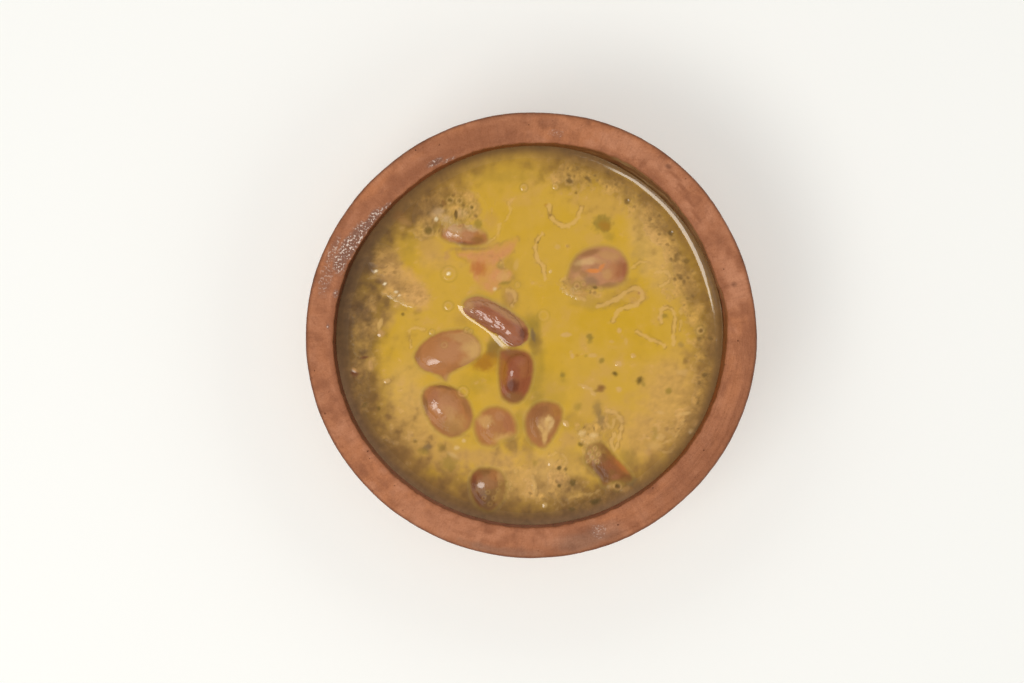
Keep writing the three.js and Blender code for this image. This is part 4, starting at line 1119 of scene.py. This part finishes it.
def ovalAway(across, down, x, y, halfX, halfY, turn):  # 1 on the oval's edge
    angle = math.radians(turn)
    dx, dy = across - x, down - y
    along = (dx * math.cos(angle) + dy * math.sin(angle)) / halfX
    return np.hypot(along, (dy * math.cos(angle) - dx * math.sin(angle)) / halfY)


for bean in beans.values():
    bean["line"] = rounded(bean["outline"])


def ringed(colours, across, down):  # each bubble gets a painted pale ring of reflected light just inside its edge, and is darker just outside
    for bx, by, radius, strength in bubbleRings:
        away = np.hypot(across - bx, down - by)
        for size, colour, share in ((0.8, "tanPale", 0.6), (1.25, "olive", 0.4)):
            ring = hump(away - radius * size, 0.8)
            colours = mixColour(colours, palette[colour], share * strength * ring)
    return colours


def beanColours(bean, across, down, gap):  # gap: pixels to the bean's outline
    flat = np.column_stack((across, down))
    ragged, slow = fractal(flat, 7, 3, 4), fractal(flat, 16, 3, 5)
    shade = smooth(slow, 0.0, 0.7) * 0.3
    colours = mixColour(np.array(palette[bean["colour"]]), palette["skinShade"], shade)
    for x, y, halfX, halfY, turn, colour, share in bean["patches"]:
        away = ovalAway(across, down, x, y, halfX, halfY, turn)
        colours = mixColour(colours, palette[colour], share * (1 - smooth(away + ragged * 0.25, 0.35, 1.15)))
    # Darker along the inside of the outline: painted shade on the bean's sides.
    rim = bean.get("edge", 0.2) * hump(gap + 0.6, 2.4)
    return ringed(mixColour(colours, palette["skinShade"], rim), across, down)


def beanDull(bean, across, down):  # a bean shines only where its glints are
    matt = np.full(len(across), bean.get("dull", 0.9 if "glints" in bean else 0.0))
    for x, y, halfX, halfY, turn in bean.get("glints", []):
        matt *= smooth(ovalAway(across, down, x, y, halfX, halfY, turn), 0.75, 1.35)
    return matt


def wallGap(x, y):  # distance from the wall, at the broth's level
    angle = np.arctan2(y, x)
    edgeX, edgeY = shapeByHand(levelRadius * np.cos(angle), levelRadius * np.sin(angle), brothLevel)
    return np.hypot(edgeX, edgeY) - np.hypot(x, y)


# The dark band along the wall, brown froth with painted shade of the rim on it: degrees round from +X, width in
# mm, share, colour, and the colour right at the wall, a painted reflection of the wall in the oil's climb.
edgeBands = [
    (0, 8.4, 0.9, "edgeWarm", "edge"), (20, 8.2, 0.9, "edgeWarm", "edge"), (40, 6.4, 0.8, "edgeWarm", "edge"),
    (60, 6.8, 0.8, "edgeWarm", "edge"), (78, 8.4, 0.9, "edgeWarm", "edge"), (92, 4.8, 0.65, "edgeWarm", "edge"),
    (105, 4.8, 0.6, "edgeWarm", "edge"), (120, 7.8, 0.85, "edgeWarm", "edge"), (135, 9.8, 0.9, "edge", "edge"),
    (150, 8.6, 1.0, "edgeShadow", "edge"), (165, 11.0, 1.0, "edgeShadow", "edgeShadow"),
    (180, 12.0, 1.0, "edgeShadow", "edge"), (195, 10.4, 1.0, "edge", "edgeGrey"),
    (210, 10.2, 1.0, "edge", "edgeGrey"), (225, 9.6, 1.0, "edgeWarm", "edgeGrey"),
    (240, 10.8, 1.0, "edgeWarm", "edgeGrey"), (255, 13.4, 1.0, "edge", "edgeGrey"),
    (270, 6.8, 1.0, "edge", "edgeGrey"), (285, 9.8, 1.0, "edge", "edgeGrey"),
    (300, 10.4, 1.0, "edgeWarm", "edgeGrey"), (315, 5.6, 0.75, "edgeWarm", "edgeWarm"),
    (330, 5.4, 0.7, "edgeWarm", "edge"), (345, 6.8, 0.85, "edgeWarm", "edge"),
]


def edgeBand(turn):  # the band's width, share and two colours
    turns, widths, shares, *names = zip(*edgeBands)
    numbers = [np.interp(turn, turns, values, period=360) for values in (widths, shares)]
    return *numbers, *[coloursRound(turn, turns, [palette[name] for name in row]) for row in names]


def paintWashes(broth):  # the broth's colours, its cloudy parts, the dark band along the wall with its painted shade, and a painted tint under the wall's highlight
    across, down, gap, grains = broth["across"], broth["down"], broth["gap"], broth["grains"]
    coarse, middle = grains["coarse"], grains["middle"]
    colours = np.tile(np.array(palette["oil"]), (len(gap), 1))
    colours = mixColour(colours, palette["deepOil"], smooth(coarse, 0.0, 0.8) * 0.6)
    colours = mixColour(colours, palette["tan"], smooth(-coarse + 0.4 * middle, 0.1, 0.9) * 0.45)
    cloud = np.zeros(len(gap))
    for *oval, colour, share, soft in washes:
        away = ovalAway(across, down, *oval) + 0.28 * middle
        share = share * (1 - smooth(away, 1 - 0.75 * soft, 1.2))
        colours = mixColour(colours, palette[colour], share)
        if colour in ("tan", "tanPale", "lump", "foamShade"):
            cloud = np.maximum(cloud, share)
    width, share, bandColour, wallColour = edgeBand(broth["turn"])
    beside = np.clip(gap, 0, None)
    near = (beside / width) ** 2.2 * np.clip(1 + 0.85 * middle + 0.6 * coarse, 0.25, 2.2)
    band = share * np.exp(-near)
    # Painted shade of the rim over the band's froth, and right at the wall a painted reflection of the wall.
    colours = mixColour(colours, bandColour, band)
    colours = mixColour(colours, wallColour, 0.85 * hump(beside, 1.7))
    # A painted yellow tint where the wall's meniscus mirrors the light, so that its highlight looks yellow.
    arcGap = looks["arcReach"] * np.log(broth["climb"] / looks["arcClimb"]) - looks["arcShift"]
    arc = hump(gap - arcGap, looks["arcWidth"])
    colours = mixColour(colours, palette["oil"], 0.35 * arc * broth["lit"])
    broth.update(colours=colours, cloud=np.maximum(cloud, band), band=band)


def domes(away, number):  # bubbles of uneven height
    return np.sqrt(np.clip(1 - (away / looks["bubbleRadius"]) ** 2, 0, 1)) * (0.4 + jitter[number, 0])


def layFroth(broth):  # bubbles and heaps of foam, and how dull they make the surface
    across, down, gap, lit, grains = (broth[name] for name in ("across", "down", "gap", "lit", "grains"))
    coarse, middle, fine = grains["coarse"], grains["middle"], grains["fine"]
    amount, heap = np.zeros(len(gap)), np.zeros(len(gap))
    for *oval, much, lift in frothZones:
        away = ovalAway(across, down, *oval)
        amount += much * np.exp(-(away**2) * 0.9)
        heap += lift * np.exp(-(away**2) * 1.4)
    clear = smooth(gap, 0.6 + 2.0 * lit, 2.6 + 1.4 * lit)  # nothing floats in the meniscus of the wall
    froth = smooth(amount + 0.5 * middle + 0.2 * fine, 0.25, 0.85) * clear
    flat = np.column_stack((across, down))
    big, bigNumber = cells(flat + 3 * np.column_stack((middle, coarse)), looks["bigBubble"])
    small, smallNumber = cells(flat, looks["smallBubble"], 40)
    lumpy = 0.5 * domes(big, bigNumber) + 0.35 * domes(small, smallNumber) + 0.3 * fine
    tint = np.clip(0.6 + 0.4 * (lumpy - 0.42) + 0.45 * middle - 0.75 * broth["band"], 0, 1)
    foam = mixColour(np.array(palette["foamShade"]), palette["foam"], tint)
    colours = mixColour(broth["colours"], foam, froth * (0.6 - 0.42 * broth["band"]))
    hollow = smooth(jitter[bigNumber, 1], 0.66, 0.72) * smooth(0.14 + 0.26 * jitter[bigNumber, 0] - big, 0, 0.16)
    hollowSmall = smooth(jitter[smallNumber, 1], 0.6, 0.7) * smooth(0.36 - small, 0, 0.2)
    colours = mixColour(colours, palette["pit"], froth * np.clip(0.5 * hollow + 0.25 * hollowSmall, 0, 0.6))
    mottle = np.maximum(broth["cloud"], froth)
    colours = colours * (1 + mottle * (0.07 * middle + 0.14 * fine) + 0.03 * middle)[:, None]
    relief = froth * (0.12 * lumpy - 0.04 - 0.08 * hollow)
    broth["height"] += heap * smooth(gap, 0, 3) * (1 + 0.25 * middle) + relief
    dull = np.maximum(np.maximum(froth, 0.35 * broth["cloud"]), 0.92 * smooth(heap, 0.08, 0.3))
    dull = dull * (1 - lit * (1 - smooth(gap, 2.8, 4.2)))
    dull = np.maximum(dull, 0.85 * (1 - lit) * (1 - smooth(gap, 2.5, 5)))
    dull = np.maximum(dull, 0.95 * lit * (1 - smooth(gap, 0.25, 0.8)))
    broth.update(colours=colours, froth=froth, dull=dull)


def laySkins(broth):  # torn skins under the oil, blurred bits and loose skins
    across, down, height = broth["across"], broth["down"], broth["height"]
    colours, dull, grains = broth["colours"], broth["dull"], broth["grains"]
    middle, fine = grains["middle"], grains["fine"]
    flat = np.column_stack((across, down))
    wobble, broken = fractal(flat, 6, 2, 9), fractal(flat, 9, 2, 10)
    for colour, share, lift, points in tornSkins:
        away = lineGap(across, down, rounded(points), 8, True) + 0.9 * fine + 1.6 * wobble
        inside = (1 - smooth(away, -4.5, 2.6)) * (0.85 + 0.4 * middle)
        edge = hump(away - 0.6, 1.3) * smooth(broken, -0.2, 0.5)
        colours = mixColour(colours, palette[colour], np.clip(share * inside, 0, 1))
        colours = mixColour(colours, palette["foamShade"], 0.4 * share * edge)
        height += lift * inside
        dull = np.maximum(dull, 0.6 * inside)
    bits = smooth(broth["gap"], 0.2, 1.5)
    for *oval, colour, share, soft, lift in sunkThings:
        away = ovalAway(across, down, *oval)
        near = away < 2
        share = share * (1 - smooth(away[near] + 0.3 * fine[near], 1 - 0.85 * soft, 1 + 0.4 * soft)) * bits[near]
        colours[near] = mixColour(colours[near], palette[colour], share)
        height[near] += lift * np.exp(-(away[near] ** 2) * 1.6) * bits[near]
    for width, strength, points in looseSkins:
        away = lineGap(across, down, rounded(points, False), 8) + 0.8 * fine + 1.5 * wobble + 0.16 * width * broken
        inside = 1 - smooth(away, width * 0.15, width * 0.55)
        edge = hump(away - width * 0.5, 0.7) * smooth(broken, -0.3, 0.4)
        colours = mixColour(colours, palette["tanPale"], 0.6 * strength * inside)
        colours = mixColour(colours, palette["foamShade"], 0.55 * strength * edge)
        height += strength * 0.1 * inside
        dull = np.maximum(dull, 0.9 * inside)
    broth.update(colours=colours, dull=dull)


def readBroth(x, y):  # everything the surface of the broth is at these places
    across, down = toPixels(x, y)
    flat = np.column_stack((across, down))
    turn = np.degrees(np.arctan2(y, x)) % 360
    broth = {
        "across": across,
        "down": down,
        "gap": wallGap(x, y),
        "turn": turn,
        "lit": smooth(turn, *looks["litStart"]) * (1 - smooth(turn, *looks["litEnd"])),
        "climb": valueRound(turn, climbRound),
        "height": 0.04 * fractal(flat, 30, 2, 6),
        "grains": {
            "coarse": fractal(flat, 34, 4, 1),
            "middle": fractal(flat, 14, 4, 2),
            "fine": fractal(flat, 4.5, 3, 3),
        },
    }
    paintWashes(broth)
    layFroth(broth)
    laySkins(broth)
    reach = looks["climbReach"] + 0.15 * broth["lit"]
    broth["climb"] *= np.exp(-np.clip(broth["gap"], 0, None) / reach)
    for bx, by, radius, strength in bubbleRings:
        away = np.hypot(across - bx, down - by)
        broth["height"] += 0.2 * strength * np.sqrt(np.clip(1 - (away / radius) ** 2, 0, 1))
    broth["colours"] = np.clip(ringed(broth["colours"], across, down), 0.002, 0.97)
    return broth


def addBeans(x, y, broth):  # the beans' colours and the film of oil over them
    across, down, fine = broth["across"], broth["down"], broth["grains"]["fine"]
    level = brothLevel + broth["height"] + broth["climb"]
    reach = looks["lineReach"]
    for bean in beans.values():
        gap = lineGap(across, down, bean["line"], reach, True)
        near = gap < reach - 1
        soft = 0.9 * bean["soft"]
        inside = 1 - smooth(gap[near] + 0.5 * fine[near], -soft, soft)
        shade = 0.4 * hump(np.clip(gap[near], 0, None), looks["beanShade"])
        tones = mixColour(broth["colours"][near], palette["olive"], shade)
        covered = inside * (1 - 0.75 * broth["froth"][near] * (gap[near] < 0) * bean.get("froth", 0.4))
        broth["colours"][near] = mixColour(tones, beanColours(bean, across[near], down[near], gap[near]), covered)
        broth["froth"][near] *= 1 - 0.8 * inside
        beside = 1 - smooth(gap[near], 0.5, 6)
        matt = beanDull(bean, across[near], down[near])
        broth["dull"][near] += (matt - broth["dull"][near]) * np.maximum(inside, beside)
        if "climb" in bean:
            out = np.clip(gap[near], 0, None) * levelPixel
            level[near] += bean["climb"] * np.exp(-out / looks["climbReach"]) * (1 - 0.75 * (gap[near] < -6))
    for bean in beans.values():
        gap = lineGap(across, down, bean["line"], reach, True)
        for index in np.nonzero(gap < 8)[0]:
            hit = bean["tree"].ray_cast((x[index], y[index], 2 * rimHeight), (0, 0, -1))[0]
            if hit is None:
                continue
            over, width = hit.z - level[index], bean["film"]
            if over < -width:
                continue
            blend = max(width - abs(over), 0) / max(width, 1e-6)
            joined = max(over, 0) + blend * blend * width / 4
            level[index] += joined - looks["filmDepth"] * float(smooth(over, 0.2 * width, 0.2 * width + 0.35))
    return level


def makeBeanMesh(bean):  # a plump oval, bent and wrinkled, and flattened above the broth
    bm = bmesh.new()
    bmesh.ops.create_icosphere(bm, subdivisions=6, radius=1)
    unit = readPoints(bm)
    along = unit[:, 0]
    half = np.array(bean["size"]) / 2
    power = looks["plumpness"]
    plump = np.clip(1 - np.abs(along) ** power, 0, 1) ** (1 / power)
    swell = plump / np.sqrt(np.clip(1 - along**2, 1e-9, 1)) * (1 - bean.get("taper", 0) * along)
    rise = np.clip(unit[:, 2] * swell, -1.2, None)
    rise = np.where(rise > 0, rise ** bean["peak"], rise)
    spots = np.column_stack((
        along * half[0],
        unit[:, 1] * swell * half[1] + bean.get("bend", 0) * (1 - 2 * along**2),
        rise * half[2],
    ))
    outward = unit / half
    outward /= np.linalg.norm(outward, axis=1)[:, None]
    seed = abs(bean["at"][0])
    lumps = fractal(spots, looks["lumpSize"], 2, seed) * bean["lump"]
    folds = 1 - np.abs(fractal(spots * [0.4, 1, 1], 1.7, 3, seed + 1)) * 2.4
    push = lumps + (folds + fractal(spots, 0.9, 2, seed + 2) * 0.6) * looks["wrinkleHeight"] * bean["wrinkle"]
    spots += outward * push[:, None]
    turn = Matrix.Rotation(math.radians(bean["turn"]), 3, "Z")
    turn = turn @ Matrix.Rotation(math.radians(bean.get("tip", 0)), 3, "Y")
    middle = np.array((*bean["at"], brothLevel - bean["under"] + bean.get("raise", 0)))
    spots = spots @ np.array(turn).T + middle
    over = spots[:, 2] - brothLevel
    spots[:, 2] = brothLevel + np.where(over > 0, over * bean.get("shows", 1.0), over)
    writePoints(bm, spots)
    bean["tree"] = BVHTree.FromBMesh(bm)
    return bm


def beanMaterial(name, freckle):
    material, tree, shader, place = startMaterial(name)
    tone = valueOf(tree, "tone", "Color")
    mottle = grainOf(tree, place, 1.1, 5, 0.65)
    fine = grainOf(tree, place, 0.35, 3, 0.6)
    darker = mixed(tree, 1.0, tone, (0.7, 0.62, 0.58), "MULTIPLY")
    colour = mixed(tree, stretched(tree, mottle, 0.5, 0.8, 0, freckle), tone, darker)
    lighter = mixed(tree, 1.0, tone, (1.16, 1.2, 1.26), "MULTIPLY")
    colour = mixed(tree, stretched(tree, fine, 0.55, 0.75, 0, freckle), colour, lighter)
    plug(tree, shader.inputs["Base Color"], colour)
    sheen = stretched(tree, mottle, 0.3, 0.7, 0.1, 0.2)
    dull = valueOf(tree, "dull")
    plug(tree, shader.inputs["Roughness"], worked(tree, "ADD", sheen, worked(tree, "MULTIPLY", dull, 0.34)))
    plug(tree, shader.inputs["Coat Weight"], worked(tree, "SUBTRACT", 1.0, dull))
    pressed = bumpOf(tree, mottle, 0.06)
    plug(tree, shader.inputs["Normal"], bumpOf(tree, fine, 0.02, pressed))
    shader.inputs["Coat Roughness"].default_value = 0.05
    shader.inputs["Coat IOR"].default_value = 1.75
    shader.inputs["Specular IOR Level"].default_value = 0.25
    return material


beanMaterials = {
    "red_bean": beanMaterial("red bean skin", 0.5),
    "brown_bean": beanMaterial("brown bean skin", 0.35),
}
for beanName, bean in beans.items():
    bm = makeBeanMesh(bean)
    spots = readPoints(bm)
    across, down = toPixels(spots[:, 0], spots[:, 1])
    gap = lineGap(across, down, bean["line"], 40, True)
    piece = finishPiece(bm, beanName + "_skin", beanMaterials[bean["slot"]], [beanName])
    addColours(piece.data, "tone", beanColours(bean, across, down, gap))
    addValues(piece.data, "dull", beanDull(bean, across, down))
print("beans made")


def makeBroth():
    bm = bmesh.new()
    bmesh.ops.create_grid(bm, x_segments=300, y_segments=300, size=1)
    grid = readPoints(bm)  # a square, whose rings are turned into circles
    u, v = grid[:, 0], grid[:, 1]
    flat = np.abs(u) >= np.abs(v)
    ring = np.where(flat, np.abs(u), np.abs(v))
    with np.errstate(invalid="ignore", divide="ignore"):
        sideways = np.pi / 4 * v / u + np.pi * (u < 0)
        upward = np.pi / 2 - np.pi / 4 * u / v + np.pi * (v < 0)
    angle = np.where(flat, sideways, upward)
    angle = np.nan_to_num(angle)  # the grid's middle has none
    radius = ring * (levelRadius + 0.3)
    x, y = shapeByHand(radius * np.cos(angle), radius * np.sin(angle), brothLevel)
    broth = readBroth(x, y)
    level = addBeans(x, y, broth)
    writePoints(bm, np.column_stack((x, y, level)))

    # Down the inside of the wall and across the floor, so that it is a closed body.
    rim = [e for e in bm.edges if e.is_boundary]
    for step in [Vector((levelRadius - 0.3, brothLevel - 2))] + innerWall(7, 0.3)[1:]:
        made = bmesh.ops.extrude_edge_only(bm, edges=rim)["geom"]
        rim = [e for e in made if isinstance(e, bmesh.types.BMEdge)]
        for vert in [g for g in made if isinstance(g, bmesh.types.BMVert)]:
            around = math.atan2(vert.co.y, vert.co.x)
            vx, vy = shapeByHand(step.x * np.cos(around), step.x * np.sin(around), step.y)
            vert.co = (vx, vy, step.y)
    bmesh.ops.holes_fill(bm, edges=rim, sides=0)
    bmesh.ops.recalc_face_normals(bm, faces=bm.faces)
    extra = len(bm.verts) - len(x)
    piece = finishPiece(bm, "broth_and_oil", brothMaterial(), ["ful_broth"])
    addValues(piece.data, "froth", np.append(broth["froth"], np.zeros(extra)))
    addValues(piece.data, "dull", np.append(broth["dull"], np.zeros(extra)))
    addColours(piece.data, "tone", np.vstack((broth["colours"], np.tile(palette["tan"], (extra, 1)))))
    return piece


def brothMaterial():
    material, tree, shader, place = startMaterial("broth under oil")
    tone, froth = valueOf(tree, "tone", "Color"), valueOf(tree, "froth")
    mottle = grainOf(tree, place, 1.3, 5, 0.65, 0.4)
    fine = grainOf(tree, place, 0.5, 3, 0.6)
    dots = dotsOf(tree, place, 1.1)
    darker = mixed(tree, 1.0, tone, (0.6, 0.58, 0.55), "MULTIPLY")
    lighter = mixed(tree, 1.0, tone, (1.25, 1.25, 1.3), "MULTIPLY")
    grains = addNode(tree, "Mix", {0: froth, 2: 0.12, 3: 0.3}, data_type="FLOAT").outputs[0]
    dim = worked(tree, "MULTIPLY", stretched(tree, mottle, 0.52, 0.8), grains)
    colour = mixed(tree, dim, tone, darker)
    # Painted light on the middles of the froth's bubbles and painted shade along their rims.
    lit = worked(tree, "MULTIPLY", stretched(tree, dots, 0.35, 0.1, 0, 0.16), froth)
    colour = mixed(tree, lit, colour, lighter)
    rimmed = worked(tree, "MULTIPLY", stretched(tree, dots, 0.5, 0.75, 0, 0.2), froth)
    colour = mixed(tree, rimmed, colour, darker)
    plug(tree, shader.inputs["Base Color"], colour)
    dull = valueOf(tree, "dull")
    plug(tree, shader.inputs["Roughness"], stretched(tree, dull, 0, 1, 0.07, 0.5))
    plug(tree, shader.inputs["Coat Weight"], worked(tree, "MULTIPLY", worked(tree, "SUBTRACT", 1.0, dull), 0.9))
    bumpy = worked(tree, "MULTIPLY", worked(tree, "SUBTRACT", 0.5, dots), froth)
    pressed = bumpOf(tree, bumpy, 0.1)
    plug(tree, shader.inputs["Normal"], bumpOf(tree, worked(tree, "MULTIPLY", fine, froth), 0.06, pressed))
    shader.inputs["Coat Roughness"].default_value = 0.04
    shader.inputs["Coat IOR"].default_value = 1.8
    shader.inputs["Specular IOR Level"].default_value = 0.2
    return material


makeBroth()
print("broth made")


# Floor and light.

studio = {
    "floorSize": 6000.0,
    "floor": (0.93, 0.935, 0.905),
    "halo": (1.0, 0.96, 0.84),  # a weak painted glow of the floor beside the bowl, that lightens the bowl's shade there
    "haloStart": 56.0,
    "haloEdge": 105.0,
    "haloStrength": 0.1,
    "sky": (0.25, 1.38),  # near the horizon and overhead
    "skyMirrored": (0.42, 0.16),  # in reflections, around and overhead
    "skyColour": (1, 0.99, 0.975),
    "keyColour": (1, 0.985, 0.955),
    "keyPower": 3.6,
    "keySide": 560.0,
    "keyTurn": 219,  # degrees round from +X
    "keyRise": 61,
    "keyDistance": 1300.0,
}


def makeStudio():
    bm = bmesh.new()
    bmesh.ops.create_grid(bm, x_segments=1, y_segments=1, size=studio["floorSize"] / 2 * mm)
    mesh = bpy.data.meshes.new("floor")
    bm.to_mesh(mesh)
    bm.free()
    material, tree, shader, place = startMaterial("pale floor")
    cloudy = grainOf(tree, place, 240, 2, 0.5)
    shade = tuple(c * 0.98 for c in studio["floor"])
    away = addNode(tree, "VectorMath", {0: place}, operation="LENGTH").outputs["Value"]
    near = stretched(tree, away, studio["haloEdge"] * mm, rimRadius * mm)
    near = worked(tree, "MULTIPLY", near, stretched(tree, away, studio["haloStart"] * mm, rimRadius * mm))
    plug(tree, shader.inputs["Base Color"], mixed(tree, cloudy, studio["floor"], shade))
    # Painted light: the floor glows a little beside the bowl.
    plug(tree, shader.inputs["Emission Color"], studio["halo"])
    plug(tree, shader.inputs["Emission Strength"], worked(tree, "MULTIPLY", near, studio["haloStrength"]))
    shader.inputs["Roughness"].default_value = 0.7
    mesh.materials.append(material)
    floor = bpy.data.objects.new("floor", mesh)
    scene.collection.objects.link(floor)

    # A soft box overhead lights the scene, and reflections see it darkest right above.
    world = bpy.data.worlds.new("studio")
    scene.world = world
    world.use_nodes = True
    tree = world.node_tree
    toward = addNode(tree, "TexCoord").outputs["Generated"]
    height = addNode(tree, "SeparateXYZ", {0: toward}).outputs[2]
    lit = stretched(tree, height, 0.35, 0.95, *studio["sky"])
    mirrored = stretched(tree, height, 0.65, 0.92, *studio["skyMirrored"])
    glossy = addNode(tree, "LightPath").outputs["Is Glossy Ray"]
    glow = addNode(tree, "Mix", {0: glossy, 2: lit, 3: mirrored}, data_type="FLOAT").outputs[0]
    plug(tree, tree.nodes["Background"].inputs[0], studio["skyColour"])
    plug(tree, tree.nodes["Background"].inputs[1], glow)

    data = bpy.data.lights.new("key", "AREA")
    data.shape = "SQUARE"
    data.size = studio["keySide"] * mm
    data.energy = studio["keyPower"]
    data.color = studio["keyColour"]
    key = bpy.data.objects.new("key", data)
    scene.collection.objects.link(key)
    turn, rise = math.radians(studio["keyTurn"]), math.radians(studio["keyRise"])
    toward = Vector((math.cos(turn) * math.cos(rise), math.sin(turn) * math.cos(rise), math.sin(rise)))
    key.location = toward * studio["keyDistance"] * mm
    key.rotation_euler = toward.to_track_quat("Z", "Y").to_euler()


makeStudio()
print("studio made")
